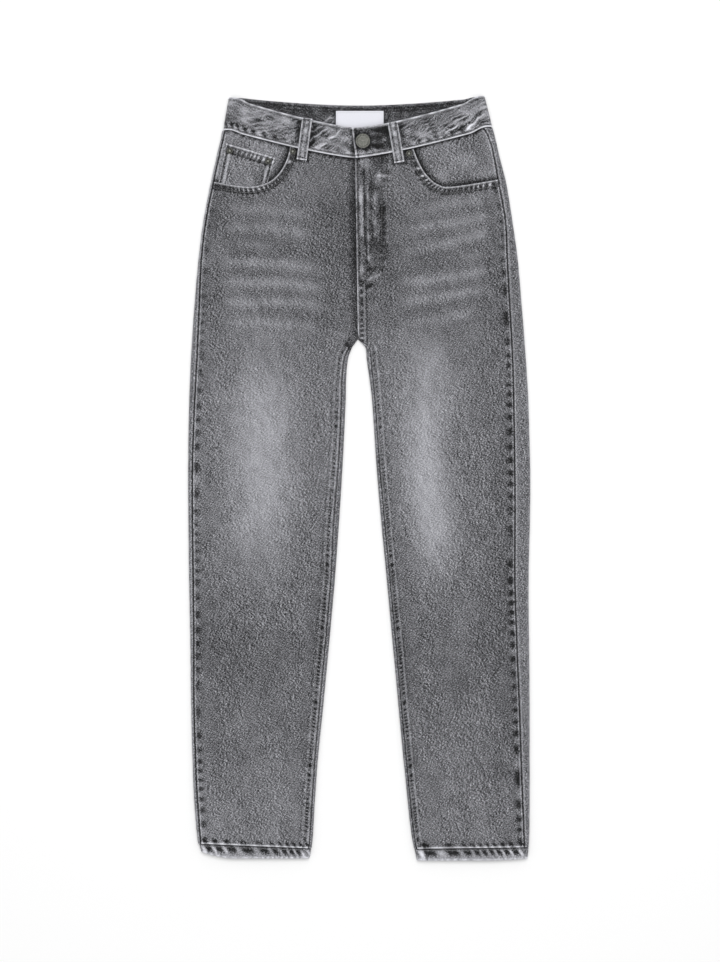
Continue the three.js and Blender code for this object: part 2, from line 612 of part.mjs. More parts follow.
// Metal: a shank button and small domed rivets
function turned(profile, segments) {
  return new THREE.LatheGeometry(profile.map(([radius, height]) => point2(radius, height)), segments).rotateX(Math.PI / 2);
}
const button = () =>
  turned([[0, 0], [3.4, 0], [3.4, 1.1], [8.7, 1.1], [BUTTON_RADIUS, 1.6], [9.1, 2.4], [8.2, 2.9], [7.2, 2.8], [4, 3], [0, 3.1]], 32);
const rivet = () =>
  turned([[0, 0], [RIVET_RADIUS - 0.4, 0], [RIVET_RADIUS, 0.4], [3.6, 1], [2.4, 1.1], [1.9, 0.8], [1.1, 1.1], [0, 1.6]], 20);
const BUTTON_AT = point2(5, 430.6);
const RIVETS = {
  rivet_pocket_right: { at: point2(-84.6, 417.8), height: (x, y) => frontOuter(RIGHT, x, y) },
  rivet_pocket_left: { at: point2(64, 415.2), height: (x, y) => frontOuter(LEFT, x, y) },
  rivet_coin_outer: { at: point2(-165, 418.4), height: coinOuter },
  rivet_coin_inner: { at: point2(-116, 405.3), height: coinOuter },
};
const RIVET_CLEAR = 0.3; // above the highest point of the cloth under a rivet's rim

// The blank size label inside the back of the waistband
const LABEL = { from: point2(-29.5, 440), to: point2(31.5, 470), thick: 1 };
function label() {
  const { from, to, thick } = LABEL;
  const { x: width, y: height } = to.clone().sub(from);
  const plate = new THREE.BoxGeometry(width, height, thick);
  return plate.translate(from.x + width / 2, from.y + height / 2, BAND + SEAM + thick / 2);
}

// The zip hidden behind the fly, with its tape against the left front
const ZIP = { from: 9, to: 31, low: 292, high: 400, thick: 1.1 };
function zip() {
  const grid = (drop) =>
    spread(ZIP.high, ZIP.low, 5).map((y) =>
      spread(centreFront(y) + ZIP.from, centreFront(y) + ZIP.to, 3).map(
        (x) => new THREE.Vector3(x, y, frontOuter(LEFT, x, y) - CLOTH - SEAM - 0.15 - drop),
      ),
    );
  return wall(grid(0), grid(ZIP.thick));
}

// Materials and the assembled trousers
const finish = (color, roughness, metalness = 0) => new THREE.MeshStandardMaterial({ color, roughness, metalness });
const DENIM = finish(0x77787b, 0.95);
const DENIM_PALE = finish(0x8d8f92, 0.95);
const METAL = finish(0x8b8878, 0.42, 0.9);
const WOVEN_LABEL = finish(0xe9eaf2, 0.8);
const TAPE = finish(0x3a3a3d, 0.85);

const trousers = new THREE.Group();
function put(name, geometry, material, at = new THREE.Vector3()) {
  const mesh = new THREE.Mesh(geometry, material);
  mesh.name = name;
  mesh.position.copy(at);
  trousers.add(mesh);
}

const MOUTHS = { right: MOUTH_RIGHT, left: MOUTH_LEFT };
for (const [name, one] of Object.entries(LEGS)) {
  put(`front_${name}`, geometryOf(frontPanel(one, MOUTHS[name])), DENIM);
  put(`back_${name}`, geometryOf(backPanel(one)), DENIM);
  put(`yoke_${name}`, geometryOf(yoke(one)), DENIM);
  put(`pocket_facing_${name}`, geometryOf(pocketFacing(one, MOUTHS[name])), DENIM);
  put(`back_pocket_${name}`, geometryOf(prism(backPocketOutline(one), 0, PATCH)), DENIM);
  put(`hem_${name}`, hemRing(one), DENIM_PALE);
  put(`belt_loop_front_${name}`, frontLoop(one, FRONT_LOOPS[name]), DENIM_PALE);
}
for (const [name, x] of Object.entries(BACK_LOOPS)) {
  put(`belt_loop_back_${name}`, geometryOf(prism(backLoopOutline(x), 0, PATCH)), DENIM_PALE);
}
put("waistband", geometryOf(waistband()), DENIM_PALE);
put("coin_pocket", geometryOf(coinPocket()), DENIM);
put("fly_zip", zip(), TAPE);
put("size_label", label(), WOVEN_LABEL);
put("button", button(), METAL, new THREE.Vector3(BUTTON_AT.x, BUTTON_AT.y, bandHeight(BUTTON_AT.x, true) + SEAM));
for (const [name, { at, height }] of Object.entries(RIVETS)) {
  const rim = spread(0, Math.PI * 2, 12).map((a) => height(at.x + RIVET_RADIUS * Math.cos(a), at.y + RIVET_RADIUS * Math.sin(a)));
  put(name, rivet(), METAL, new THREE.Vector3(at.x, at.y, Math.max(height(at.x, at.y), ...rim) + RIVET_CLEAR));
}

export default trousers;
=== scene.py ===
"""Grey washed denim trousers laid flat on their back, seen from straight above.

Sizes are millimetres in the solids' frame: x to the wearer's left, y towards the waist, z up from the ground.
A fade of 0 is the plain washed grey, above 0 is worn pale and below 0 is less worn and dark."""

import math

import bpy
import numpy as np
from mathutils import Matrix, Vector
from mathutils.geometry import delaunay_2d_cdt


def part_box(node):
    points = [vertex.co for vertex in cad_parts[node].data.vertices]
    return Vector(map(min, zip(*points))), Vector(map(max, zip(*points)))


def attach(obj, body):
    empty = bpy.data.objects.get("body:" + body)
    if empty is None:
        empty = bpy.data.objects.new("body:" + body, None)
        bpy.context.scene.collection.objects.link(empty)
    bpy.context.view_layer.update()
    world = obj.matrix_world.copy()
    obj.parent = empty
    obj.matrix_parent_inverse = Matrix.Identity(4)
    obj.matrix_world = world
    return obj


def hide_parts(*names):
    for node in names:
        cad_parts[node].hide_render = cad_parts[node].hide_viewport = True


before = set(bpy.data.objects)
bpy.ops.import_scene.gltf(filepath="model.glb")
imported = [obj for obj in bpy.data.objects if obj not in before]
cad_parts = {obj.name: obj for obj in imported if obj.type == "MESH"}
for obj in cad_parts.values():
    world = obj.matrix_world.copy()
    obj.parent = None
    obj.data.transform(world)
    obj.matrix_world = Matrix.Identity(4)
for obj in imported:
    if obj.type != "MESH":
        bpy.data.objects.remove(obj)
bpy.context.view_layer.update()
MM = 0.001

# Thickness of each cloth, as in the solids, and the gap at every seam
CLOTH, FACING, COIN, PATCH, LOOP, BAND, HEM = 1.3, 1.0, 1.1, 1.0, 1.6, 2.4, 2.4
SEAM = 0.3
# Radii of the folds of the legs, waistband and hems, and how the fronts rise between their folds
FOLD, BAND_FOLD, HEM_FOLD = 2.5, 4.0, 3.2
CROWN, CROWN_RUN = 1.0, 18
HEM_EXTRA = 2 * (HEM_FOLD - FOLD)
# Heights where the side seams, the fronts' middle, the inside-leg seams and the hems are measured
SIDE_TOP, MIDDLE_TOP, LEG_TOP, LEG_END = 449, 411, 171, -475
CROTCH_X, CROTCH_Y, CENTRE_BACK = -1.3, 177, -1.3
# The fly and the underlap: width, lower end, underlap, how deep that lies and how far the fly stands up
FLY_WIDTH, FLY_END, UNDERLAP, SUNK, RAISED, BULK = 41, 285, 8, 1.45, 0.5, 0.4

# The fold down the outer side of each leg and how far in the side seam lies, from the waist to the hem
OUTER = {
    "right": dict(
        y=[450, 430, 411, 377, 331, 280, 228, 165, 100, 24, -53, -130, -207, -284, -360, -411, -463, -489],
        fold=[
            *(173.5, 177.5, 182, 189.5, 198.5, 205, 209.8, 214.2, 216.9),
            *(218.2, 218.2, 217, 215.5, 214.5, 212.5, 210.5, 206, 201.5),
        ],
        seam=[3.2, 3.2, 3.2, 3.2, 3.2, 3.6, 6, 7.6, 7, 5.5, 5.4, 5.2, 4.4, 3.6, 3.8, 4.2, 3.8, 3.6],
    ),
    "left": dict(
        y=[
            *(450, 435, 411, 377, 331, 280, 228, 165, 100, 24),
            *(-10, -53, -130, -207, -284, -360, -411, -463, -489),
        ],
        fold=[
            *(170.5, 174.5, 180, 188.5, 196, 203, 207.5, 212.5, 216.5, 218.6),
            *(219, 218.6, 217, 217.5, 218.2, 218.3, 218.2, 217.6, 215.5),
        ],
        seam=[
            *(12.5, 8.4, 7.6, 9.8, 9, 13.5, 15.2, 16.7, 18.7, 19.7),
            *(19.7, 19.2, 17.7, 15.8, 13.4, 11, 9, 6.4, 4),
        ],
    ),
}
# The same for the inner side of each leg and its inside-leg seam
INNER = {
    "right": dict(
        y=[175, 170, 165, 152, 126, 100, 24, -53, -130, -207, -284, -360, -411, -463, -489],
        fold=[3.6, 7.6, 10.2, 14.2, 16.4, 17, 20.5, 25.3, 30.9, 37.8, 45, 52.8, 56.4, 59.6, 63.4],
        seam=[3.2, 3.4, 3.8, 5, 5.6, 5.8, 5.8, 7.2, 5.4, 5.2, 5, 4, 3.8, 4, 4],
    ),
    "left": dict(
        y=[175, 170, 165, 152, 126, 100, 24, -53, -130, -207, -284, -360, -411, -463, -489],
        fold=[1.6, 7, 9, 10, 13.8, 16.8, 22, 28.3, 35.6, 42.9, 50, 57.2, 62.4, 68.6, 74.5],
        seam=[3.4, 4.6, 5.8, 5.8, 4.8, 4.2, 4.4, 4.8, 4.6, 4.4, 4.2, 4, 3.8, 3.6, 3.6],
    ),
}
WAY = {"right": -1, "left": 1}
# The hem seam's height at both sides of each leg, and the hem's edge, which rises towards the outer side
HEM_LINE = {
    "right": dict(outer=-467, inner=-473, edge=-485.5, rise=8.5, run=45),
    "left": dict(outer=-471.5, inner=-473.5, edge=-488.2, rise=2.4, run=60),
}
# Where the waistband folds at each side: x, y and over how far its seam line comes to that point
BAND_SIDES = {
    "right": dict(low=(173.5, 444.8, 24), high=(166.5, 486.8, 28)),
    "left": dict(low=(170.5, 449, 28), high=(160.5, 488.8, 28)),
}
# Points along each pocket's mouth
MOUTH = {
    "right": [(-86.5, 431), (-91.5, 409), (-102.5, 389.5), (-118.5, 377.3), (-145, 372.8), (-194, 380.5)],
    "left": [(66, 431), (75.5, 406), (86.5, 387.5), (102, 375), (122, 373), (194, 384.5)],
}
# Faded creases across the hips: the height of each 110 mm from the middle, its tilt outwards and its ends
HIP_CREASES = dict(
    side=["right"] * 7 + ["left"] * 7,
    y=[341.5, 317.5, 296, 273.5, 248.5, 224, 197, 348, 325.5, 301, 283, 257.5, 233.5, 207],
    tilt=[0.08, 0.09, 0.06, 0.09, 0.07, 0.06, 0.06, 0.15, 0.19, 0.24, 0.04, 0.15, 0.13, 0.17],
    start=[55, 52, 95, 40, 35, 35, 40, 50, 45, 50, 112, 42, 42, 48],
    end=[178, 180, 172, 186, 186, 184, 180, 172, 176, 178, 176, 176, 172, 160],
    high=[0.35, 0.4, 0.3, 0.5, 0.5, 0.45, 0.35, 0.3, 0.4, 0.45, 0.3, 0.5, 0.45, 0.35],
)
# Worn places: centre, half widths and lean of each, with how pale it is
WORN = dict(
    x=[-125, 88, -118, 95, -128, 70],
    y=[-2, -15, 110, 120, 30, 132],
    wide=[43, 30, 44, 32, 62, 42],
    high=[112, 112, 68, 62, 190, 60],
    lean=[0.02, 0.12, 0.05, 0.13, 0.02, 0.1],
    pale=[1.02, 1.5, 0.42, 0.52, 0.26, 0.32],
)


def mix(a, b, t):
    return a + (b - a) * t


def rise(x, low, high):
    """A smooth step from 0 to 1."""
    t = np.clip((x - low) / (high - low), 0, 1)
    return t * t * (3 - 2 * t)


def bump(distance, width):
    """1 at no distance, falling off softly over a width."""
    return np.exp(-((distance / width) ** 2))


def column(table, name):
    """A smooth curve through one column of a table, over its y."""
    ys, values = np.array(table["y"][::-1], float), np.array(table[name][::-1], float)
    ahead, behind = np.minimum(np.arange(len(ys)) + 1, len(ys) - 1), np.maximum(np.arange(len(ys)) - 1, 0)
    slope = (values[ahead] - values[behind]) / (ys[ahead] - ys[behind])

    def at(y):
        y = np.clip(y, ys[0], ys[-1])
        i = np.clip(np.searchsorted(ys, y) - 1, 0, len(ys) - 2)
        step = ys[i + 1] - ys[i]
        t = (y - ys[i]) / step
        rest = 1 - t
        ends = values[i] * rest * rest * (1 + 2 * t) + values[i + 1] * t * t * (1 + 2 * rest)
        return ends + step * t * rest * (slope[i] * rest - slope[i + 1] * t)

    return at


fold = {side: column(OUTER[side], "fold") for side in WAY}
side_seam = {side: column(OUTER[side], "seam") for side in WAY}
inner_fold = {side: column(INNER[side], "fold") for side in WAY}
inner_seam = {side: column(INNER[side], "seam") for side in WAY}


def outer_line(side, y):
    """How far out the side seam lies."""
    return fold[side](y) - side_seam[side](y)


def inner_line(side, y):
    """How far out the inside-leg seam lies."""
    return inner_fold[side](y) + inner_seam[side](y)


def spline(points, count):
    """A smooth line through points in plan."""
    p = np.array(points, float)
    p = np.vstack([2 * p[0] - p[1], p, 2 * p[-1] - p[-2]])
    out = []
    for k in np.linspace(0, len(points) - 1, count):
        i = min(int(k), len(points) - 2)
        t = k - i
        a, b, c, d = p[i : i + 4]
        curve = 2 * b + (c - a) * t + (2 * a - 5 * b + 4 * c - d) * t**2 + (3 * b - a - 3 * c + d) * t**3
        out.append(0.5 * curve)
    return np.array(out)


# Seam lines, as y over x
def centre_front(y):
    return mix(-1.4, -5, (y - CROTCH_Y) / 235)


def arch(x, middle, high, half, power):
    return middle + high * (np.abs(x) / half) ** power


def into_sides(x, y, edge):
    right, left = BAND_SIDES["right"][edge], BAND_SIDES["left"][edge]
    end_x, end_y, run = (np.where(x < 0, a, b) for a, b in zip(right, left))
    return mix(y, end_y, rise(np.abs(x), end_x - run, end_x - BAND_FOLD))


def front_top(x):
    return into_sides(x, arch(x + 3, 448, 39, 163, 1.3), "high")


def front_waist(x):
    return into_sides(x, arch(x + 5, 409.2, 38, 172, 1.3), "low")


def back_top(x):
    return into_sides(x, arch(x, 477, 11, 163, 1.7), "high")


def back_waist(x):
    return into_sides(x, arch(x, 438, 11, 172, 2), "low")


def yoke_seam(x):
    return arch(x, 374, 58, 175, 1)


def hem_seam(side, out):
    share = (fold[side](LEG_END) - out) / (fold[side](LEG_END) - inner_fold[side](LEG_END))
    return mix(HEM_LINE[side]["outer"], HEM_LINE[side]["inner"], np.clip(share, 0, 1))


def hem_edge(side, out):
    line = HEM_LINE[side]
    corner = np.clip((fold[side](-484) - out) / line["run"], 0, 1)
    return line["edge"] + line["rise"] * (1 - np.sin(corner * np.pi / 2))


def ripple(s, wave, seed):
    """An uneven wave along a seam, from -1 to 1."""
    bent = s / wave + 0.8 * np.sin(s / (wave * 2.7) + seed) + 0.45 * np.sin(s / (wave * 1.3) + 2.3 * seed)
    return np.sin(2 * np.pi * bent) * (0.7 + 0.3 * np.sin(s / (wave * 1.9) + 1.7 * seed))


def mottle(x, y, wide, high, seed):
    """Soft random patches of a size, from about -1 to 1."""
    grid = np.random.default_rng(seed).uniform(-1, 1, (128, 128))
    u, v = x / wide + 40.3, y / high + 51.7
    i, j = np.floor(u).astype(int), np.floor(v).astype(int)
    a, b = rise(u - i, 0, 1), rise(v - j, 0, 1)
    i, j, k, m = i % 128, j % 128, (i + 1) % 128, (j + 1) % 128
    return mix(mix(grid[i, j], grid[k, j], a), mix(grid[i, m], grid[k, m], a), b) * 1.4


def beside(line, x, y):
    """How far points lie from a line and how far along it. The distance is positive on the line's left."""
    line = np.asarray(line, float)
    start, step = line[:-1], np.diff(line, axis=0)
    length = np.hypot(*step.T)
    before = np.concatenate([[0], np.cumsum(length)[:-1]])
    shape = np.shape(x)
    x, y = np.ravel(x), np.ravel(y)
    away, along = np.empty(len(x)), np.empty(len(x))
    for part in np.array_split(np.arange(len(x)), max(1, len(x) * len(start) // 2_000_000)):
        dx, dy = x[part, None] - start[:, 0], y[part, None] - start[:, 1]
        t = np.clip((dx * step[:, 0] + dy * step[:, 1]) / length**2, 0, 1)
        off_x, off_y = dx - t * step[:, 0], dy - t * step[:, 1]
        squared = off_x**2 + off_y**2
        best = squared.argmin(axis=1)
        row = np.arange(len(part))
        left = step[best, 0] * off_y[row, best] - step[best, 1] * off_x[row, best]
        away[part] = np.sqrt(squared[row, best]) * np.where(left < 0, -1, 1)
        along[part] = before[best] + t[row, best] * length[best]
    return away.reshape(shape), along.reshape(shape)


def moved(line, distance):
    """A line moved to its left by a distance."""
    line = np.asarray(line, float)
    step = np.gradient(line, axis=0)
    return line + np.column_stack([-step[:, 1], step[:, 0]]) / np.hypot(*step.T)[:, None] * distance


def within(outline, x, y):
    """Whether points lie inside an outline."""
    inside = np.zeros(np.shape(x), bool)
    for (ax, ay), (bx, by) in zip(outline, np.roll(outline, -1, axis=0)):
        if ay != by:
            inside ^= ((ay > y) != (by > y)) & (x < ax + (bx - ax) * (y - ay) / (by - ay))
    return inside


# The outer row of the fly's stitching runs down and curves in to the edge; a second row lies inside it.
FLY_OUTER = [(36, 420), (35.8, 360), (35, 305), (32, 280), (25, 262), (13, 252.5), (0.5, 250)]
FLY_INNER = [(29.5, 420), (29.4, 360), (28.6, 306), (26, 286), (20, 270), (11, 261), (0.5, 257.5)]


def seam_lines():
    """The lines that seams run along, on the front."""
    lines = {}
    for side, way in WAY.items():
        down = np.linspace(SIDE_TOP, LEG_END + 1, 190)
        lines["side", side] = np.column_stack([way * outer_line(side, down), down])
        down = np.linspace(LEG_TOP, LEG_END, 130)
        lines["leg", side] = np.column_stack([way * inner_line(side, down), down])
        lines["mouth", side] = spline(MOUTH[side], 90)
        across = np.linspace(0, 230, 60)
        lines["hem", side] = np.column_stack([way * across, hem_seam(side, across)])
    down = np.linspace(425, 176, 60)
    lines["fly"] = np.column_stack([centre_front(down), down])
    lines["fly outer"], lines["fly inner"] = spline(FLY_OUTER, 60), spline(FLY_INNER, 60)
    return lines


LINES = seam_lines()


def hip_creases(x, y, height=True):
    """The creases' relief, or how pale they are."""
    total = np.zeros(np.shape(x))
    for side, at, tilt, start, end, high in zip(*HIP_CREASES.values()):
        out = np.abs(x)
        across = y - at - tilt * (out - 110) - 1.6 * np.sin(out / 23 + at)
        along = rise(out, start, start + 30) * (1 - rise(out, end - 26, end)) * (WAY[side] * x > 0)
        wide = 9 if height else 7.2
        total += (high if height else high * 1.25 + 0.12) * along * bump(across, wide)
    return total


def front_height(x, y):
    right = x < centre_front(y)
    out = np.abs(x)
    to_outer = np.where(right, fold["right"](y) + x, fold["left"](y) - x)
    leg = np.where(right, -x - inner_fold["right"](y), x - inner_fold["left"](y))
    to_inner = np.where(y < CROTCH_Y, leg, np.hypot(x - CROTCH_X, y - CROTCH_Y))
    inside = np.maximum(np.minimum(to_outer, to_inner) - FOLD, 0)
    return 2 * FOLD + CROWN * (1 - np.exp(-inside / CROWN_RUN)) + hip_creases(x, y)


def front_outer(side, x, y):
    """The front's outer face, with the fly laid over."""
    from_edge = np.abs(x - centre_front(y))
    present = rise(y, 179, 190)
    if side == "right":
        under = np.where(x > centre_front(y), 1, 1 - rise(from_edge, 0, 15))
        return front_height(x, y) - SUNK * under * present
    lap = RAISED * (1 - rise(from_edge, 10, 26))
    layers = BULK * (1 - rise(from_edge, FLY_WIDTH - 6, FLY_WIDTH + 3)) * rise(y, FLY_END - 8, FLY_END + 20)
    return front_height(x, y) + (lap + layers) * present


def row_groove(away, at, deep=0.4):
    """The groove that a row of stitches presses in."""
    return -deep * bump(away - at, 0.75)


def band(away, along, width, rows, wave, seed, puff, lean=0.0, pale=1.0, dark=1.0):
    """Relief and fade of a doubled band beside an edge, puckered by its rows of stitches."""
    on = rise(away, -0.5, 0.6) * (1 - rise(away, width - 0.4, width + 1.6))
    between = bump(away - (rows[0] + rows[1]) / 2, (rows[1] - rows[0]) * 0.42)
    wave_now = ripple(along + lean * away, wave, seed)
    relief = puff * on + 0.36 * wave_now * between
    for row in rows:
        relief = relief + row_groove(away, row)
    puckers = bump(away - rows[1] - 2.6, 2.8) * (away > rows[1])
    relief = relief + 0.24 * wave_now * puckers
    fade = on * (4.2 * pale * rise(wave_now, 0.1, 0.9) * between - 1.5 * dark)
    fade = fade + (3.5 + 0.5 * wave_now) * pale * bump(away - 0.5, 1.3) * (away > -2)
    fade = fade - 1.1 * dark * bump(away - rows[1] - 1.2, 1.3)
    return relief, fade + 1.0 * wave_now * puckers


def plain_seam(away, along, seed, blots, wave=18.0, line=1.0):
    """Relief and fade of one side of a plain seam: a dark line at the seam, a worn one beside it and dark
    blots where it puckers."""
    wave_now = ripple(along, wave, seed)
    small = ripple(along, wave * 0.43, seed + 2)
    blot = rise(wave_now + 0.25 * small, -0.15, 0.75) * bump(away - 5.2, 3.3)
    relief = 0.3 * bump(away - 3.4, 2.2) * (0.8 + 0.6 * wave_now)
    fade = 2.5 * line * bump(away - 1.8, 0.85) * (0.75 + 0.25 * small) - 2.4 * line * bump(away, 1.0)
    return relief, fade - 2.0 * blots * blot + 0.5 * blots * rise(-wave_now, 0.1, 0.9) * bump(away - 4.8, 3)


def inseam(away, along, y, at):
    """Relief and fade of the stitched-down band beside an inside-leg seam, whose middle lies at off it."""
    rungs = ripple(along + 0.3 * away, 5.4, 3)
    strong = mix(0.5, 1.1, rise(-y, -60, 200))
    between = bump(away - at, 2.5)
    relief = 0.4 * (1 - rise(away, at + 3.8, at + 5.4)) + 0.26 * rungs * between
    for row in (at - 3.1, at + 2.6):
        relief = relief + row_groove(away, row)
    worn = 2.3 * bump(away - at + 3.6, 0.9) + 1.9 * bump(away - at - 3.7, 1.0)
    fade = worn * (0.8 + 0.3 * ripple(along, 23, 5))
    fade = fade - 3.0 * strong * rise(rungs, -0.1, 0.8) * between - 0.7 * bump(away - at - 5.9, 1.4)
    return relief, fade


def broad_fades(x, y):
    """The large worn and dark areas of the front."""
    fade = np.zeros(np.shape(x))
    for cx, cy, wide, high, lean, pale in zip(*WORN.values()):
        across = (x - cx + lean * (y - cy)) / wide
        up = (y - cy) / high
        fade += pale * np.exp(-(np.abs(across) ** 2.2) - np.abs(up) ** 3) * (x * cx > 0)
    fade -= 0.26 * bump(y + 210, 110)
    fade += 0.24 * rise(-y, 300, 460)
    fade += 1.2 * hip_creases(x, y, height=False) - 0.3 * rise(y, 176, 205) * (1 - rise(y, 345, 372))
    fade -= 0.3 * bump(x, 40) * rise(y, 200, 300) + 0.3 * rise(x, 150, 190) * (1 - rise(y, 190, 330))
    rubbed = mottle(0.9 * x + 0.35 * y, y - 0.3 * x, 4.5, 15, 5)
    return fade + 0.1 * mottle(x, y, 34, 46, 3) + 0.08 * mottle(x, y, 11, 16, 4) + 0.16 * rubbed


def hem_pull(side, x, y):
    """The slanting wave that the hem's seam pulls into the cloth above and below it."""
    return ripple(x + 0.6 * (y + 470), 13.5, 2 if side == "right" else 7)


def front_look(side, x, y):
    """Relief and fade of a front panel."""
    way = WAY[side]
    right = side == "right"
    away = {name: beside(LINES[name, side], x, y) for name in ("side", "leg", "mouth", "hem")}
    relief = 0.16 * mottle(x, y, 42, 60, 11) + 0.08 * mottle(x, y, 15, 24, 12)
    fade = broad_fades(x, y)
    d, s = away["side"]
    low_leg = mix(0.45, 1.0, rise(-y, -290, -200 if side == "left" else 0))
    parts = [plain_seam(np.abs(d), s, 1 if right else 5, blots=(0.9 if right else 1.15) * low_leg)]
    d, s = away["leg"]
    parts.append(np.array(inseam(np.abs(d), s, y, 5.6 if right else 3.4)) * (1 - rise(y, 166, 176)))
    d, s = away["mouth"]
    parts.append(band(-way * d, s, 8.2, (1.7, 7.6), 6.4, 8 if right else 2, lean=0.3, puff=0.5))
    # The hem's pull: short slanting folds that run up from its line
    d = np.abs(away["hem"][0])
    pulls = hem_pull(side, x, y)
    reach = 8 + 4 * mottle(x, y, 17, 60, 14) + 8 * bump(away["leg"][0], 16)
    near = 1 - rise(d, 1.5, reach)
    flecks = 1.2 * (rise(pulls, -0.2, 0.9) - 0.5) * near - 3.0 * rise(-pulls, -0.1, 0.8) * bump(d - 4.6, 2.3)
    parts.append((0.32 * pulls * near, flecks + (2.9 + 0.6 * pulls) * bump(d - 0.9, 1.35)))
    # The waist seam's edge, with painted shade under the waistband, and the front loop's painted shadow
    d = front_waist(x) - y
    pulls = ripple(x * 0.9 + d * 0.6, 8.5, 9)
    shaded = 1.7 * bump(d - 0.6, 2.4)
    parts.append((0.18 * pulls * (1 - rise(d, 0, 10)), 0.6 * pulls * (1 - rise(d, 2, 11)) - shaded))
    foot = np.array(FRONT_LOOPS[side][0])
    loop_shadow_beside = bump(np.abs(x - foot[0]) - 7.6, 2.2) * rise(y, foot[1] - 4, foot[1] - 1)
    loop_shadow_below = bump(y - foot[1] + 1.8, 1.5) * (1 - rise(np.abs(x - foot[0]), 6, 9))
    parts.append((0 * x, -2.0 * loop_shadow_beside - 1.9 * loop_shadow_below))
    if right:
        # The shadow beside the fly's edge
        from_edge = centre_front(y) - x
        shadow = mix(0.75, 1.3, bump(y - 310, 90))
        parts.append((0 * x, -shadow * (1 - rise(from_edge, 1.5, 12)) * rise(y, 172, 182)))
        # Drag lines that run down from the pocket's rivet
        drag = ripple(0.9 * x + 0.45 * y, 7.5, 2) * bump(np.hypot(x + 74, (y - 396) * 0.8), 19)
        # A pressed line beside the inside-leg seam
        pressed = bump(np.abs(away["leg"][0]) - 15, 2.1) * bump(y - 60, 90)
        # Painted shade in the hollow where the inner fold meets the crotch, and a worn curve above it
        hollow = bump(x + 13, 5) * bump(y - 171, 9)
        curved = bump(np.hypot(x + 44, y - 150) - 40, 1.6) * bump(y - 179, 15) * (x > -40)
        parts.append((0.2 * drag + 0.3 * pressed, 0.7 * drag + 0.5 * pressed - 2.4 * hollow + 1.0 * curved))
    else:
        parts.append(fly_look(x, y))
    for more_relief, more_fade in parts:
        relief, fade = relief + more_relief, fade + more_fade
    return relief, fade


# Worn ridges and dark hollows down the fly: how far from its edge, half width, ends and how pale
FLY_RIDGES = dict(
    at=[6.9, 10.9, 15.2, 18.8, 24.4, 33, 39.6, 2.7, 7.0, 13, 6.5],
    wide=[2.7, 1.0, 1.05, 1.6, 2.2, 4.5, 1.2, 0.9, 1.8, 1.2, 2.5],
    low=[307, 300, 277, 285, 308, 290, 300, 250, 258, 265, 376],
    high=[374, 404, 372, 404, 366, 360, 384, 408, 300, 300, 405],
    pale=[2.7, -1.8, 2.3, -1.1, 1.5, -0.6, 1.8, -2.1, 1.0, -1.3, 0.8],
)
# Single marks on the fly: centre, half widths, turn and how pale
FLY_MARKS = dict(
    x=[29, 29.6, 2.6, 19, 13.5, 12, 14.2, 3.9],
    y=[387, 343.5, 267, 257, 246, 240, 267, 250.5],
    wide=[8, 3.6, 2.2, 9, 5.0, 4.0, 4.0, 3.0],
    high=[1.6, 4.2, 7.6, 1.6, 1.9, 1.5, 2.2, 2.0],
    turn=[0, 0, 0, 0.52, 0.5, 0.2, 0.5, 0],
    pale=[2.0, -2.0, 1.6, 2.6, -2.4, 1.3, -2.2, -1.8],
)


def fly_look(x, y):
    """Relief and fade of the fly and the seam below it, on the left front."""
    from_edge = x - centre_front(y)
    low = 1 - rise(y, FLY_END - 40, FLY_END - 28)
    rungs = ripple(y, 7.5, 5)
    # The stitched-down seam from the end of the fly to the crotch
    relief = low * (0.4 * (1 - rise(from_edge, 9, 11)) + 0.28 * rungs * bump(from_edge - 5.6, 2.4))
    relief = relief + row_groove(from_edge, 2.4, deep=0.3) + row_groove(from_edge, 9, deep=0.35) * low
    fade = low * (3.0 * (rise(rungs, -0.1, 0.8) - 0.5) * bump(from_edge - 5.4, 2.4))
    fade = fade + low * (1.3 * bump(from_edge - 9.4, 1.0) - 1.0 * bump(from_edge - 11.6, 1.5))
    for at, wide, start, end, pale in zip(*FLY_RIDGES.values()):
        uneven = 0.84 + 0.16 * ripple(y, 21, at) if wide > 2.5 else 0.68 + 0.32 * ripple(y, 15, at)
        length = rise(y, start - 5, start + 5) * (1 - rise(y, end - 5, end + 5))
        worn = bump(from_edge - at, wide) * length * uneven
        relief, fade = relief + 0.08 * pale * worn, fade + pale * worn
    for name in ("fly outer", "fly inner"):
        d, s = beside(LINES[name], x, y)
        relief = relief + row_groove(d, 0, deep=0.3)
        fade = fade - 1.0 * bump(d, 1.2) + 0.6 * ripple(s, 8, 3) * bump(d - 2.2, 2.2)
    for at_x, at_y, wide, high, turn, pale in zip(*FLY_MARKS.values()):
        u = (x - at_x) * math.cos(turn) + (y - at_y) * math.sin(turn)
        v = (y - at_y) * math.cos(turn) - (x - at_x) * math.sin(turn)
        fade = fade + pale * np.exp(-((u / wide) ** 4) - (v / high) ** 2)
    zone = (1 - rise(from_edge, 38, 43)) * rise(y, 262, 285)
    fade = fade + zone * (0.55 * mottle(x, y, 4.5, 9, 81) + 0.35 * mottle(x, y, 9, 16, 82) - 0.2)
    corner = bump(np.hypot(x - 14, y - 260), 12)
    pull = ripple(x * 0.8 - y * 0.7, 8, 1)
    relief, fade = relief + 0.4 * corner * pull, fade + 0.8 * corner * pull
    fade = fade + 3.1 * bump(from_edge - 0.5, 1.05) * (0.78 + 0.22 * ripple(y, 13, 4))
    return relief * (from_edge > -1), fade * (from_edge > -2)


# Meshes. The rings of points along a rounded edge lie this far in from it, and the inside is a little dark.
RIM = (0.0, 0.35, 0.85, 1.6, 2.7)
INSIDE_FADE = -0.35


def rim_drop(distance, thick):
    """How far a face turns in as it comes to a rounded edge."""
    r = thick * 0.42
    t = np.clip(1 - distance / (r * 1.5), 0, 1)
    return r * (1 - np.sqrt(np.maximum(1 - t * t, 0)))


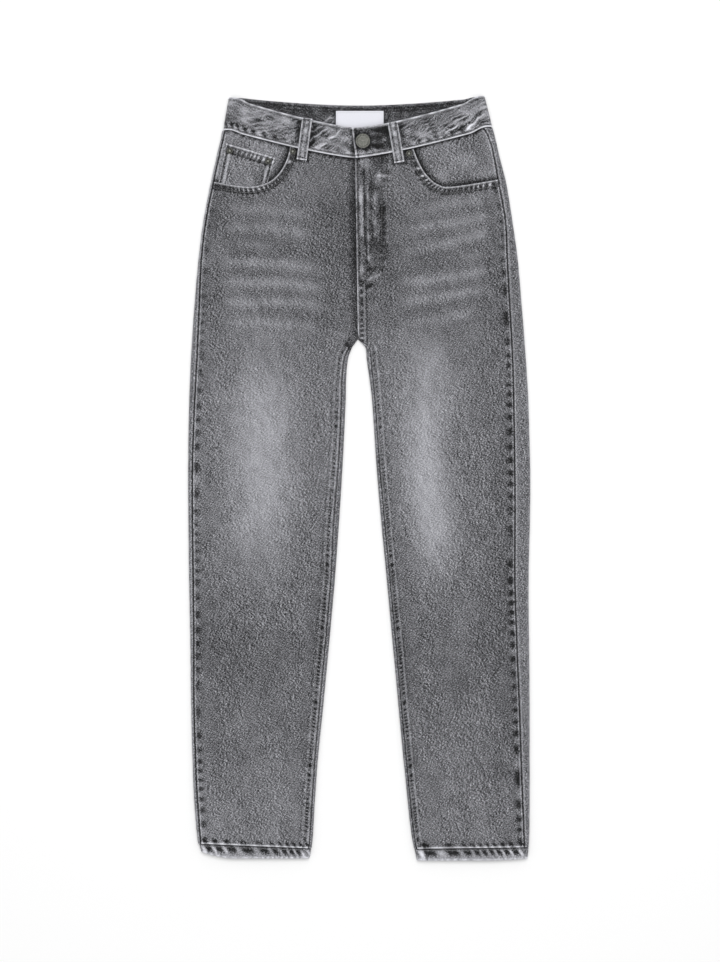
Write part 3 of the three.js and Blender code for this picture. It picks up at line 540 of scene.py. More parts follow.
def piece(name, points, faces, material, replaced=(), slot="denim", **values):
    """A mesh from points in millimetres, with a number at each point for each named value, which may be a
    function of x and y."""
    points = np.asarray(points)
    mesh = bpy.data.meshes.new(name)
    mesh.from_pydata((points * MM).tolist(), [], [list(map(int, f)) for f in faces])
    mesh.polygons.foreach_set("use_smooth", np.ones(len(mesh.polygons), bool))
    for key, numbers in values.items():
        numbers = numbers(*points.T[:2]) if callable(numbers) else numbers
        layer = mesh.attributes.new(key, "FLOAT", "POINT")
        layer.data.foreach_set("value", np.ascontiguousarray(numbers, dtype=np.float32))
    mesh.materials.append(material)
    mesh.update()
    made = bpy.data.objects.new(name, mesh)
    bpy.context.scene.collection.objects.link(made)
    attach(made, "root")
    if replaced:
        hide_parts(*replaced)
    return made


def quads(rows, columns, ring=False):
    """The faces of a grid of points."""
    i, j = np.meshgrid(np.arange(rows - 1), np.arange(columns if ring else columns - 1), indexing="ij")
    this_row, next_row, after = i * columns, (i + 1) * columns, (j + 1) % columns
    corners = [this_row + j, this_row + after, next_row + after, next_row + j]
    return np.stack(corners, -1).reshape(-1, 4)


def capped(walls, base, rows, columns):
    """A tube's faces with both its ends closed. base is the number of its first point."""
    first, last = base + np.arange(columns), base + (rows - 1) * columns + np.arange(columns)
    return [*walls.tolist(), first[::-1].tolist(), last.tolist()]


def shell(name, outer, inner, material, fade, ring=False, inner_fade=INSIDE_FADE, **more):
    """A closed piece of cloth between two grids of points."""
    rows, columns = outer.shape[:2]
    count = rows * columns
    face = quads(rows, columns, ring)
    back = face[:, ::-1] + count
    loops = [np.arange(columns), np.arange(columns) + (rows - 1) * columns]
    sides = []
    for k, loop in enumerate(loops):
        nxt = np.roll(loop, -1) if ring else loop[1:]
        now = loop if ring else loop[:-1]
        strip = np.stack([now, now + count, nxt + count, nxt], -1)
        sides.append(strip if k == 0 else strip[:, ::-1])
    if not ring:
        for k, start in enumerate((0, columns - 1)):
            loop = np.arange(rows) * columns + start
            strip = np.stack([loop[:-1], loop[:-1] + count, loop[1:] + count, loop[1:]], -1)
            sides.append(strip[:, ::-1] if k == 0 else strip)
    faces = np.vstack([face, back, *sides])
    points = np.vstack([outer.reshape(-1, 3), inner.reshape(-1, 3)])
    a, b, c, d = (points[faces[:, k]] for k in range(4))
    volume = (a * np.cross(b, c)).sum() + (a * np.cross(c, d)).sum()
    if volume < 0:
        faces = faces[:, ::-1]
    inside = np.concatenate([np.zeros(count), np.ones(count)])
    fades = np.concatenate([fade.ravel(), np.ravel(inner_fade + 0 * fade)])
    return piece(name, points, faces, material, fade=fades, inside=inside, **more)


def resampled(outline, step):
    outline = np.asarray(outline, float)
    out = []
    for a, b in zip(outline, np.roll(outline, -1, axis=0)):
        count = max(1, round(np.hypot(*(b - a)) / step))
        out.extend(a + (b - a) * (np.arange(count) / count)[:, None])
    return np.array(out)


def spread(low, high, spacing):
    """Points spread evenly over a box, every other row shifted."""
    x, y = np.meshgrid(np.arange(low[0], high[0], spacing), np.arange(low[1], high[1], spacing))
    x[::2] += spacing / 2
    return x.ravel(), y.ravel()


def nearest(lines, x, y):
    """How far points lie from the nearest of some lines."""
    return np.min([np.abs(beside(line, x, y)[0]) for line in lines], axis=0)


def plan_points(edge, outline, step, zones, rim):
    """The points of a flat piece: rings along its edge, then each zone's, then those of the rest at step."""
    loop = np.vstack([edge, edge[:1]])
    tangent = np.roll(edge, -1, axis=0) - np.roll(edge, 1, axis=0)
    inward = np.column_stack([-tangent[:, 1], tangent[:, 0]]) / np.hypot(*tangent.T)[:, None]
    # A ring leaves out the points that come too near another stretch of the edge
    groups = [edge]
    for off in rim[1:]:
        ring = edge + inward * off
        away, _ = beside(loop, *ring.T)
        groups.append(ring[away > off * 0.93])
    taken = []
    for spacing, reach, lines in (*zones, (step, np.inf, [loop])):
        x, y = spread(edge.min(axis=0), edge.max(axis=0), spacing)
        keep = within(outline, x, y)
        x, y = x[keep], y[keep]
        keep = nearest(lines, x, y) < reach
        for other_reach, others in taken:
            keep &= nearest(others, x, y) >= other_reach + spacing * 0.4
        x, y = x[keep], y[keep]
        away, _ = beside(loop, x, y)
        keep = away > rim[-1] + spacing * 0.5
        groups.append(np.column_stack([x[keep], y[keep]]))
        taken.append((reach, lines))
    return np.vstack(groups)


def plan_mesh(outline, step, fine, zones, rim):
    """A flat piece's points, its triangles and how far each point lies from its edge."""
    outline = np.asarray(outline, float)
    nxt = np.roll(outline, -1, axis=0)
    if (outline[:, 0] * nxt[:, 1] - outline[:, 1] * nxt[:, 0]).sum() < 0:
        outline = outline[::-1]
    edge = resampled(outline, fine)
    plan = plan_points(edge, outline, step, zones, rim)
    count = len(edge)
    ends = [(i, (i + 1) % count) for i in range(count)]
    verts, _, faces, *_ = delaunay_2d_cdt([Vector(p) for p in plan.tolist()], ends, [], 1, 1e-5, False)
    flat = np.array([tuple(v) for v in verts])
    faces = np.array([f for f in faces if len(f) == 3])
    away = np.abs(beside(np.vstack([edge, edge[:1]]), *flat.T)[0])
    # Triangles across a hollow of the outline have all their points on the edge and their middle outside
    on_edge = away[faces].max(axis=1) < 0.1
    middles = flat[faces[on_edge]].mean(axis=1)
    outside = np.flatnonzero(on_edge)[~within(outline, *middles.T)]
    return flat, np.delete(faces, outside, axis=0), away


def cut_cloth(
    name, outline, top, thick, look, material, step=3.0, fine=1.25, zones=(), rim=RIM, down=False, **more
):
    """A flat-cut piece with rounded edges. top is its outer face's height and look its relief and fade. Its
    mesh is finer in zones, each a spacing, how far it reaches and its lines, the finest first. rim lists the
    rings of points along its edge. A piece that faces down has top as how high its face is off the ground."""
    flat, faces, away = plan_mesh(outline, step, fine, zones, rim)
    x, y = flat.T
    relief, fade = look(x, y)
    drop = rim_drop(away, thick)
    face = top(x, y) + relief - drop
    under = top(x, y) + np.maximum(relief, -0.15) - thick + drop
    if down:
        face, under = top(x, y) - relief + drop, top(x, y) + thick - drop
    total = len(flat)
    edges = np.vstack([faces[:, [0, 1]], faces[:, [1, 2]], faces[:, [2, 0]]])
    seen = {tuple(e) for e in edges.tolist()}
    border = np.array([e for e in edges.tolist() if (e[1], e[0]) not in seen])
    sides = np.stack([border[:, 0], border[:, 0] + total, border[:, 1] + total, border[:, 1]], -1)
    every = faces.tolist() + (faces[:, ::-1] + total).tolist() + sides.tolist()
    if down:
        every = [f[::-1] for f in every]
    points = np.vstack([np.column_stack([x, y, face]), np.column_stack([x, y, under])])
    inside = np.concatenate([np.zeros(total), np.ones(total)])
    fades = np.concatenate([fade, np.full(total, INSIDE_FADE)])
    return piece(name, points, every, material, fade=fades, inside=inside, **more)


# Shaders
class Number:
    """A number in a shader, so that sums on it read as sums."""

    def __init__(self, paint, socket):
        self.paint, self.socket = paint, socket

    def __add__(self, other):
        return self.paint.math("ADD", self, other)

    def __sub__(self, other):
        return self.paint.math("SUBTRACT", self, other)

    def __rsub__(self, other):
        return self.paint.math("SUBTRACT", other, self)

    def __mul__(self, other):
        return self.paint.math("MULTIPLY", self, other)

    def __pow__(self, other):
        return self.paint.math("POWER", self, other)

    __radd__ = __add__


class Paint:
    """A material and its nodes."""

    def __init__(self, name, **shader):
        self.material = bpy.data.materials.new(name)
        self.material.use_nodes = True
        self.nodes, self.links = self.material.node_tree.nodes, self.material.node_tree.links
        self.shader = self.nodes["Principled BSDF"]
        for socket, value in shader.items():
            self.shader.inputs[socket.replace("_", " ")].default_value = value

    def node(self, kind, settings=None, inputs=None, out=0):
        made = self.nodes.new(kind)
        for key, value in (settings or {}).items():
            setattr(made, key, value)
        for socket, value in (inputs or {}).items():
            self.put(made.inputs[socket], value)
        return Number(self, made.outputs[out])

    def put(self, socket, value):
        if isinstance(value, Number):
            self.links.new(value.socket, socket)
        else:
            socket.default_value = value

    def math(self, operation, *terms):
        return self.node("ShaderNodeMath", {"operation": operation}, dict(enumerate(terms)))

    def clamp(self, value, low, high):
        return self.math("MINIMUM", self.math("MAXIMUM", value, low), high)

    def value(self, name):
        """A number that each point of the mesh carries."""
        return self.node("ShaderNodeAttribute", {"attribute_name": name}, out="Fac")

    def places(self, wide, high, turn=0.0, move=(0, 0)):
        """Coordinates in which wide by high millimetres are one unit, turned about the upright and moved."""
        where = self.node("ShaderNodeTexCoord", out="Object")
        scale = (1000 / wide, 1000 / high, 1000 / wide)
        shift = (move[0] * MM, move[1] * MM, 0)
        turned = {"Vector": where, "Location": shift, "Rotation": (0, 0, turn)}
        turned = self.node("ShaderNodeMapping", None, turned)
        return self.node("ShaderNodeMapping", None, {"Vector": turned, "Scale": scale})

    def noise(self, places, detail, roughness=0.5):
        inputs = {"Vector": places, "Scale": 1.0, "Detail": detail, "Roughness": roughness}
        return self.node("ShaderNodeTexNoise", None, inputs, out="Fac")

    def stripes(self, places, direction, **inputs):
        """Soft parallel bands across a direction."""
        settings = {"wave_type": "BANDS", "bands_direction": direction}
        return self.node("ShaderNodeTexWave", settings, {"Vector": places, **inputs}, out="Fac")

    def tint(self, amount, color):
        mixed = self.node("ShaderNodeMix", {"data_type": "RGBA"}, {"Factor": amount}, out=2)
        node = mixed.socket.node
        node.inputs[6].default_value, node.inputs[7].default_value = (0, 0, 0, 1), (*color, 1)
        return mixed

    def grey(self, level, color):
        """A grey whose level runs from 0 to 255 as in a picture, tinted a little."""
        return self.tint((level * (1 / 255)) ** 2.2, color)

    def finish(self, height, deep, **sockets):
        """Connects the sockets and bumps the surface by a height, deep millimetres for each 1."""
        for socket, value in sockets.items():
            self.put(self.shader.inputs[socket.replace("_", " ")], value)
        inputs = {"Height": height, "Distance": deep * MM, "Strength": 1.0}
        self.put(self.shader.inputs["Normal"], self.node("ShaderNodeBump", None, inputs))
        return self.material


# Grey levels from 0 to 255: the plain washed cloth, one step of fade, the grain's reach and the inside
BASE_LEVEL, FADE_LEVELS, GRAIN_LEVELS, INSIDE_LEVELS = 96.0, 39.0, 340.0, 14.0


def denim(name, turn=0.0):
    """Washed grey twill: flecked yarns, a fine diagonal and the fade that each point carries."""
    paint = Paint(name, Specular_IOR_Level=0.18, Sheen_Weight=0.06, Sheen_Roughness=0.6)
    steep = turn + math.radians(-20)

    def fibres(wide, high, turned, move=(0, 0), roughness=0.6):
        return paint.noise(paint.places(wide, high, turned, move), 1.0, roughness) - 0.5

    fleck = fibres(0.62, 1.7, steep)
    before, after = (fibres(0.62, 1.7, steep, (way * 2.3, way * -0.2)) for way in (-1, 1))
    yarn = fibres(0.5, 1.3, turn, roughness=0.5)
    cloud = paint.noise(paint.places(9, 14, turn), 2.0, 0.5) - 0.5
    diagonal = paint.places(1.0, 1.0, turn + math.radians(-28))
    twill = paint.stripes(diagonal, "X", Scale=0.33, Distortion=0.6, Detail=1.0)
    fade = paint.value("fade")
    grain = (fleck - (before + after) * 0.2 + yarn * 0.5) * 1.12 + (twill - 0.5) * 0.06
    calm = paint.clamp(1.0 - fade * 0.34 - paint.value("calm"), 0.42, 1.02)
    shade = fade * FADE_LEVELS + grain * calm * GRAIN_LEVELS + cloud * 16.0 + BASE_LEVEL
    shade = paint.clamp(shade - paint.value("inside") * INSIDE_LEVELS, 26.0, 226.0)
    color = paint.grey(shade, (0.985, 0.99, 1.06))
    relief = twill * 0.5 + fleck * 0.5 + yarn * 0.8
    rough = paint.clamp(0.9 + fleck * 0.2, 0.6, 1.0)
    return paint.finish(relief, 0.1, Base_Color=color, Roughness=rough)


def thread(name, level):
    paint = Paint(name, Specular_IOR_Level=0.3)
    twist = paint.noise(paint.places(0.5, 0.5), 1.0) - 0.5
    color = paint.grey(paint.clamp(twist * 50 + level, 20.0, 235.0), (1, 1, 1.04))
    return paint.finish(twist, 0.1, Base_Color=color, Roughness=0.75 + twist * 0.3)


def aged_metal():
    paint = Paint("aged_brass", Metallic=0.85)
    spots = paint.noise(paint.places(1.6, 1.6), 3.0, 0.6)
    fine = paint.noise(paint.places(0.35, 0.35), 2.0, 0.6)
    shade = paint.clamp(spots * 0.5 + fine * 0.5 - 0.36 + paint.value("tone") * 0.18, 0.015, 0.6)
    color = paint.tint(shade, (0.98, 0.99, 0.9))
    return paint.finish(fine, 0.08, Base_Color=color, Roughness=spots * 0.3 + 0.42)


def woven(name, level, color):
    paint = Paint(name, Specular_IOR_Level=0.25)
    rib = paint.stripes(paint.places(1.0, 1.0), "Y", Scale=0.5, Distortion=0.3)
    mottled = paint.noise(paint.places(1.2, 0.8), 2.0, 0.5) - 0.5
    color = paint.grey(paint.clamp(rib * 6 + mottled * 22 + level, 10.0, 248.0), color)
    return paint.finish(rib, 0.06, Base_Color=color, Roughness=0.7 + mottled * 0.3)


CLOTH_LOOK = denim("grey_denim")
BAND_LOOK = denim("grey_denim_across", math.pi / 2)
THREAD_LOOK = thread("grey_thread", 118)
PALE_THREAD_LOOK = thread("white_thread", 215)
METAL_LOOK = aged_metal()
LABEL_LOOK = woven("white_label", 222.0, (0.97, 0.975, 1.05))
TAPE_LOOK = woven("dark_zip_tape", 52.0, (1, 1, 1.02))


# Front panels
def over_hips(x, y):
    """How much weaker the grain is over the hips than at the shins."""
    return 0 * x + 0.14 * rise(y, 60, 210)


def panel_edge(side, y):
    """The x of a front piece's edge at the side seam, half a seam in from its line."""
    return WAY[side] * (outer_line(side, y) - SEAM / 2)


def front_outline(side):
    way = WAY[side]
    half = SEAM / 2
    mouth = LINES["mouth", side]
    mouth = mouth[[front_waist(px) - half > py for px, py in mouth]]
    mouth = mouth[[abs(px) < abs(panel_edge(side, py)) for px, py in mouth]]
    ys = np.arange(408, 180, -4.0)
    if side == "right":
        waist_end = centre_front(MIDDLE_TOP) + UNDERLAP
        centre_x = centre_front(ys) + UNDERLAP * rise(ys, 189, 198) - half
    else:
        waist_end = centre_front(MIDDLE_TOP) + half
        centre_x = centre_front(ys) + half
    centre = np.column_stack([centre_x, ys])
    waist_x = np.linspace(mouth[0][0], waist_end, 30)
    waist = np.column_stack([waist_x, front_waist(waist_x) - half])
    # The inside-leg seam runs in to the crotch over its last few millimetres
    run_in = ((176, 0), (173.5, 0.75), (LEG_TOP, 1.0))
    under = [(way * (inner_fold[side](y) + inner_seam[side](y) * share + half), y) for y, share in run_in]
    ys = np.arange(168, -472, -4.0)
    leg = np.column_stack([way * (inner_line(side, ys) + half), ys])
    out = np.linspace(inner_line(side, LEG_END) + half, outer_line(side, -472) - half, 40)
    hem = np.column_stack([way * out, hem_seam(side, out) + half])
    end_y = mouth[-1][1]
    ys = np.append(np.arange(-468, end_y - 1.5, 4.0), end_y - 0.4)
    outer = np.column_stack([panel_edge(side, ys), ys])
    return np.vstack([waist, centre, under, leg, hem, outer, mouth[::-1]])


def front_panel(side):
    # The mesh follows the edges where their bands lie, and is finest on the pocket's and the fly's
    finest, fine = [LINES["mouth", side]], [LINES["leg", side], LINES["hem", side]]
    if side == "left":
        finest.append(LINES["fly"] + [8, 0])
        fine += [LINES["fly inner"], LINES["fly outer"]]
    zones = [(0.9, 8 if side == "left" else 11, finest), (1.25, 9, fine)]
    made = cut_cloth(
        f"front_{side}_denim",
        front_outline(side),
        lambda x, y: front_outer(side, x, y),
        CLOTH,
        lambda x, y: front_look(side, x, y),
        CLOTH_LOOK,
        fine=1.1,
        rim=(*RIM, 3.7, 4.8, 5.9, 7.0),
        zones=zones,
        replaced=[f"front_{side}"],
        calm=over_hips,
    )


# Pocket facings and the coin pocket
FACING_SUNK = CLOTH + SEAM + 0.2
# An x and a y that lie past all the cloth
PAST_SIDE, PAST_TOP = 240, 500


def pocket_hole(side):
    """The outline of all that lies above a pocket's mouth."""
    mouth = LINES["mouth", side]
    past = WAY[side] * PAST_SIDE
    return np.vstack([mouth, [[past, mouth[-1][1]], [past, PAST_TOP], [mouth[0][0], PAST_TOP]]])


def facing_outer(side, x, y):
    inside = within(pocket_hole(side), x, y)
    away = np.abs(beside(LINES["mouth", side], x, y)[0])
    up = np.where(inside, rise(away, 5, 26), 0)
    return front_height(x, y) - FACING_SUNK * (1 - up)


def pocket_facing(side):
    way = WAY[side]
    mouth = LINES["mouth", side]
    half = SEAM / 2
    under = moved(mouth, -way * 12)
    under = under[[y < front_waist(x) - half - 1 and abs(x) < abs(panel_edge(side, y)) - 1 for x, y in under]]
    corner_y = front_waist(panel_edge(side, SIDE_TOP)) - half
    waist_x = np.linspace(under[0][0], panel_edge(side, corner_y), 50)
    waist = np.column_stack([waist_x, front_waist(waist_x) - half])
    ys = np.arange(corner_y - 3, under[-1][1], -3.0)
    outline = np.vstack([waist, np.column_stack([panel_edge(side, ys), ys]), under[::-1]])

    def look(x, y):
        away, _ = beside(mouth, x, y)
        inside = within(pocket_hole(side), x, y)
        fade = 0.2 + 0.34 * mottle(x, y, 16, 20, 21) + (0.1 if side == "left" else 0.2)
        # Painted shade beside the pocket's mouth, where the front's edge lies over the facing, on cloth that
        # is also less worn there
        shaded = 1.5 * (1 - rise(np.abs(away), 1.5, 4.5)) + 1.2 * (1 - rise(np.abs(away), 3, 11))
        fade = fade - shaded * inside
        d = front_waist(x) - y
        pull = ripple(x + d * 0.7, 8, 3)
        # The waist seam's pulls, less a painted shade under the waistband's lower edge
        fade = fade + 0.8 * pull * (1 - rise(d, 2, 9)) - 1.7 * bump(d - 0.6, 2.2)
        relief = 0.12 * mottle(x, y, 14, 18, 22) + 0.12 * pull * (1 - rise(d, 1, 8))
        d, s = beside(LINES["side", side], x, y)
        seam_relief, worn = plain_seam(np.abs(d), s, 2, blots=0.0, line=0.7)
        return relief + seam_relief, fade + worn

    made = cut_cloth(
        f"pocket_facing_{side}_denim",
        outline,
        lambda x, y: facing_outer(side, x, y),
        FACING,
        look,
        CLOTH_LOOK,
        step=2.0,
        replaced=[f"pocket_facing_{side}"],
    )


# The coin pocket's corners, before the pocket's mouth cuts it off
COIN_CORNERS = np.array([(-169.5, 428), (-107.5, 409.5), (-119.5, 366), (-183, 366)])
COIN_TOP = COIN_CORNERS[:2]


def coin_pocket():
    lower = LINES["mouth", "right"]
    lower = moved(lower, -SEAM)[within(COIN_CORNERS, *lower.T)]
    outline = np.vstack([COIN_TOP, lower])
    left, right = COIN_CORNERS[[0, 3]], COIN_CORNERS[[1, 2]]

    def look(x, y):
        d, s = beside(COIN_TOP, x, y)
        d = np.abs(d)
        relief, fade = band(d, s, 11, (2.4, 9.4), 6.2, 6, lean=0.25, puff=0.3, pale=0.95, dark=0.75)
        for line in (left, right, left + [6.5, -2], right - [6, 0]):
            d, s = beside(line, x, y)
            relief = relief + row_groove(np.abs(d), 1.6, deep=0.25) + 0.12 * bump(d, 3)
            fade = fade + 1.5 * bump(np.abs(d) - 0.6, 1.1) - 0.9 * bump(np.abs(d) - 3, 1.3)
        streaks = mottle(x + (y - 400) * 0.2, y, 5, 22, 31)
        return relief + 0.08 * streaks, fade + 0.42 * streaks + 0.15

    made = cut_cloth(
        "coin_pocket_denim",
        outline,
        lambda x, y: facing_outer("right", x, y) + SEAM + COIN,
        COIN,
        look,
        CLOTH_LOOK,
        step=1.5,
        fine=1.0,
        replaced=["coin_pocket"],
    )


# Backs and yokes
POCKET_WIDE, POCKET_NARROW, POCKET_SIDE, POCKET_POINT = 132, 116, 118, 20
POCKET_X, POCKET_Y, POCKET_LEAN = 94, 363, 0.14
LOOP_WIDTH = 13
# The x of each back loop
BACK_LOOPS = {"right": -96, "centre": CENTRE_BACK, "left": 94}


def back_pocket_outline(side):
    wide, narrow, low = POCKET_WIDE / 2, POCKET_NARROW / 2, -POCKET_SIDE
    corners = [(-wide, 0), (wide, 0), (narrow, low), (0, low - POCKET_POINT), (-narrow, low)]
    c, s = math.cos(POCKET_LEAN), math.sin(POCKET_LEAN)
    return np.array([(WAY[side] * (POCKET_X + u * c - v * s), POCKET_Y + u * s + v * c) for u, v in corners])


def back_loop_outline(x):
    low, high = back_waist(x) - 9, back_top(x) - 1
    half = LOOP_WIDTH / 2
    return np.array([(x - half, low), (x + half, low), (x + half, high), (x - half, high)])


def lift_over(outline, x, y, high):
    """How far cloth is raised where it passes over a patch pressed under it."""
    closed = np.vstack([outline, outline[:1]])
    away = np.abs(beside(closed, x, y)[0])
    inside = within(outline, x, y)
    return high * (1 - rise(np.where(inside, 0, away), 0.3, 3.2))


def wrap_share(y):
    """How much of the way round the inner fold a back goes: less as it comes to the crotch."""
    return mix(1, 0.55, np.clip((y - LEG_TOP) / 5, 0, 1))


# The two rows of stitches of the backs' bands, and how little those are worn
BACK_ROWS, BACK_WEAR = (1.5, 7.5), dict(pale=0.8, dark=0.45)
# Columns of a back's grid: on the front, round each fold, along the ground and past the inner fold
TOP_SHARES = (0, 0.04, 0.1, 0.2, 0.34, 0.5, 0.66, 0.82, 1)
ARC_COUNT, GROUND_COUNT, PAST_COUNT = 8, 64, 3
INNER_COUNT = ARC_COUNT + PAST_COUNT
COLUMNS = len(TOP_SHARES) + ARC_COUNT + GROUND_COUNT + INNER_COUNT


def back_grid(side, y_of, rows, deep_of):
    """Points of a back piece: columns run from the side seam on the front, round the fold, along the ground
    and up to the inside-leg seam or to the centre back. deep_of gives how far in from the outer face each
    lies and how far it is lifted."""
    way = WAY[side]
    # A row's y follows from x, and x from y, so both settle in a few rounds
    y = np.zeros((rows, COLUMNS))
    for _ in range(4):
        out, z, from_side, from_inner = section(side, y, FOLD, 0.0)
        y = y_of(way * out, np.linspace(0, 1, rows)[:, None] + np.zeros(COLUMNS))
    deep, lift = deep_of(way * out, y, from_side, from_inner, z)
    out, z, *_ = section(side, y, FOLD, deep)
    return np.stack([way * out, y, z + lift], -1)


def section(side, y, radius, deep, extra=0.0):
    """How far out and how high the columns of a back lie at y, deep in from its outer face, with how far
    each lies from both ends. extra raises the part on the front."""
    way = WAY[side]
    deep = np.broadcast_to(deep, y.shape)
    fold_x = fold[side](y)
    leg = y < CROTCH_Y
    inner = np.where(leg, inner_fold[side](y), way * CENTRE_BACK + SEAM / 2)
    outer_centre, inner_centre = fold_x - radius, np.where(leg, inner + radius, inner + 14)
    out, z = np.zeros(y.shape), np.zeros(y.shape)

    def top_z(x, c):
        return front_height(way * x, y[:, c]) + extra - deep[:, c]

    c = 0
    start = fold_x - side_seam[side](y) + SEAM / 2
    for share in TOP_SHARES:
        out[:, c] = mix(start[:, c], outer_centre[:, c], share)
        z[:, c] = top_z(out[:, c], c)
        c += 1
    for k in range(1, ARC_COUNT + 1):
        angle = math.pi / 2 - math.pi * k / ARC_COUNT
        r = radius - deep[:, c]
        out[:, c], z[:, c] = outer_centre[:, c] + r * math.cos(angle), radius + r * math.sin(angle)
        c += 1
    for k in range(1, GROUND_COUNT + 1):
        out[:, c] = mix(outer_centre[:, c], inner_centre[:, c], k / GROUND_COUNT)
        z[:, c] = deep[:, c]
        c += 1
    for k in range(1, INNER_COUNT + 1):
        t = k / INNER_COUNT
        r = radius - deep[:, c]
        share = wrap_share(y[:, c])
        full = np.minimum(t * INNER_COUNT / ARC_COUNT, 1)
        angle = -math.pi / 2 - math.pi * np.where(share >= 1, full, share * t)
        on_arc_x, on_arc_z = inner_centre[:, c] + r * np.cos(angle), radius + r * np.sin(angle)
        seam = inner[:, c] + inner_seam[side](y[:, c]) - SEAM / 2
        beyond = np.where(share >= 1, np.clip((k - ARC_COUNT) / PAST_COUNT, 0, 1), 0)
        top_x = mix(inner_centre[:, c], seam, beyond)
        leg_x = np.where(beyond > 0, top_x, on_arc_x)
        leg_z = np.where(beyond > 0, top_z(leg_x, c), on_arc_z)
        out[:, c] = np.where(leg[:, c], leg_x, mix(inner_centre[:, c], inner[:, c], t))
        z[:, c] = np.where(leg[:, c], leg_z, deep[:, c])
        c += 1
    steps = np.hypot(np.diff(out, axis=1), np.diff(z, axis=1))
    from_side = np.concatenate([np.zeros((len(y), 1)), np.cumsum(steps, axis=1)], axis=1)
    return out, z, from_side, from_side[:, -1:] - from_side


def back_look(side, x, y, from_side, from_inner, z, from_top, from_low):
    """Relief and fade of a back or a yoke."""
    relief = 0.1 * mottle(x, y, 30, 44, 41) + 0.06 * mottle(x, y, 12, 20, 42)
    under = z < 1.6
    crease = ripple(y + 0.12 * np.abs(x), 27, 3) * rise(y, -160, -20) * (1 - rise(y, 90, 190))
    crease = crease * (1 - rise(np.abs(x), 150, 210))
    fade = 0.16 * mottle(x, y, 34, 46, 43) + 0.3 * bump(y - 230, 120) * under + 0.28 * crease * under - 0.12
    down = SIDE_TOP - y
    more, worn = plain_seam(from_side, down, 5 if side == "left" else 1, blots=0.1, wave=19.0, line=0.75)
    relief, fade = relief + more, fade + worn
    pale_fold = bump(from_side - side_seam[side](y) - 0.4, 2.2) * (1.0 + 0.5 * ripple(y, 31, 2))
    fade = fade + pale_fold + 0.3 * bump(from_side, side_seam[side](y) + 2) * (side == "left")
    # Painted shade on the right back at the crotch, where it shows in the hollow between the legs
    fade = fade - 2.0 * (side == "right") * bump(y - 170, 8) * bump(from_inner, 7)
    leg = rise(-y, -172, -166)
    rungs = 1.6 * rise(ripple(LEG_TOP - y, 5.4, 3), -0.1, 0.8) * bump(from_inner, 2.2) * (side == "left")
    more, worn = plain_seam(from_inner, down, 4, blots=0.1, wave=11.0, line=0.6)
    worn = worn - rungs + 0.9 * bump(from_inner - inner_seam[side](y) - 1.2, 1.8)
    relief, fade = relief + more * leg, fade + worn * leg
    seat = 1 - leg
    more, worn = band(from_inner, y, 8, BACK_ROWS, 8, 4, puff=0.3, **BACK_WEAR)
    relief, fade = relief + more * seat, fade + worn * seat
    more, worn = band(from_top, x, 8, BACK_ROWS, 8.5, 7, puff=0.25, **BACK_WEAR)
    relief, fade = relief + more * under, fade + worn * under
    pulls = ripple(x + from_low, 9.5, 3) * (1 - rise(from_low, 0.5, 9))
    return relief + 0.2 * pulls, fade + 0.7 * pulls


def back_piece(name, side, y_of, rows, lifted, sheet, **more):
    """A back panel or yoke, with what is pressed under it in lifted."""
    found = {}

    def deep_outer(x, y, from_side, from_inner, z):
        top_y = y_of(x, np.ones(x.shape))
        low_y = y_of(x, np.zeros(x.shape))
        relief, fade = back_look(side, x, y, from_side, from_inner, z, top_y - y, y - low_y)
        edge = np.minimum(np.minimum(from_side, from_inner), np.minimum(top_y - y, y - low_y))
        found["fade"], found["edge"] = fade, edge
        ground = z < 0.4
        lift = np.where(ground, sum((lift_over(o, x, y, PATCH + SEAM) for o in lifted), 0 * x), 0)
        found["lift"] = lift
        relief = np.where(ground, np.minimum(relief * 0.4 - 0.12, 0), relief)
        return rim_drop(edge, CLOTH) - relief, lift

    def deep_inner(*_):
        return CLOTH - rim_drop(found["edge"], CLOTH), found["lift"]

    outer = back_grid(side, y_of, rows, deep_outer)
    inner = back_grid(side, y_of, rows, deep_inner)
    made = shell(name, outer, inner, CLOTH_LOOK, found["fade"], **more)


def panel_rows(side):
    """The y of a back panel's rows, from the hem seam to the yoke seam, tilting into both."""
    low_rim, high_rim = [-475, -474.6, -474.1, -473.3, -472], [372.3, 373.1, 373.6, 374]
    base = np.concatenate([low_rim, np.linspace(-469.5, 371, 292), high_rim])

    def y_of(x, share):
        y = np.interp(share, np.linspace(0, 1, len(base)), base)
        out = WAY[side] * x
        low = (hem_seam(side, out) + SEAM / 2 - LEG_END) * (1 - rise(y, LEG_END, -400))
        high = (yoke_seam(x) - SEAM / 2 - 374) * rise(y, 150, 374)
        return y + low + high

    return y_of, len(base)


def yoke_rows():
    """The y of a yoke's rows, from its seam to the waistband's."""
    base = np.concatenate([[0, 0.35, 0.85, 1.6], np.linspace(3, 61, 26), [62.4, 63.1, 63.6, 64]]) / 64

    def y_of(x, share):
        t = np.interp(share, np.linspace(0, 1, len(base)), base)
        low, high = yoke_seam(x) + SEAM / 2, back_waist(x) - SEAM / 2
        return mix(low, np.maximum(high, low + 0.5), t)

    return y_of, len(base)


def backs(side):
    y_of, rows = panel_rows(side)
    back_piece(
        f"back_{side}_denim",
        side,
        y_of,
        rows,
        [back_pocket_outline(side)],
        dict(flat=(0.26, 0.93), rests_on=["floor"], area=0.175),
        replaced=[f"back_{side}"],
        calm=over_hips,
    )
    y_of, rows = yoke_rows()
    loops = [back_loop_outline(x) for x in BACK_LOOPS.values()]
    back_piece(
        f"yoke_{side}_denim",
        side,
        y_of,
        rows,
        loops,
        dict(flat=(0.19, 0.066), rests_on=["floor"], area=0.0075),
        replaced=[f"yoke_{side}"],
    )


# Patch pockets and loops pressed flat underneath, and the blank label
def on_ground(x, y):
    """How high pieces that lie on the ground are off it."""
    return 0 * x


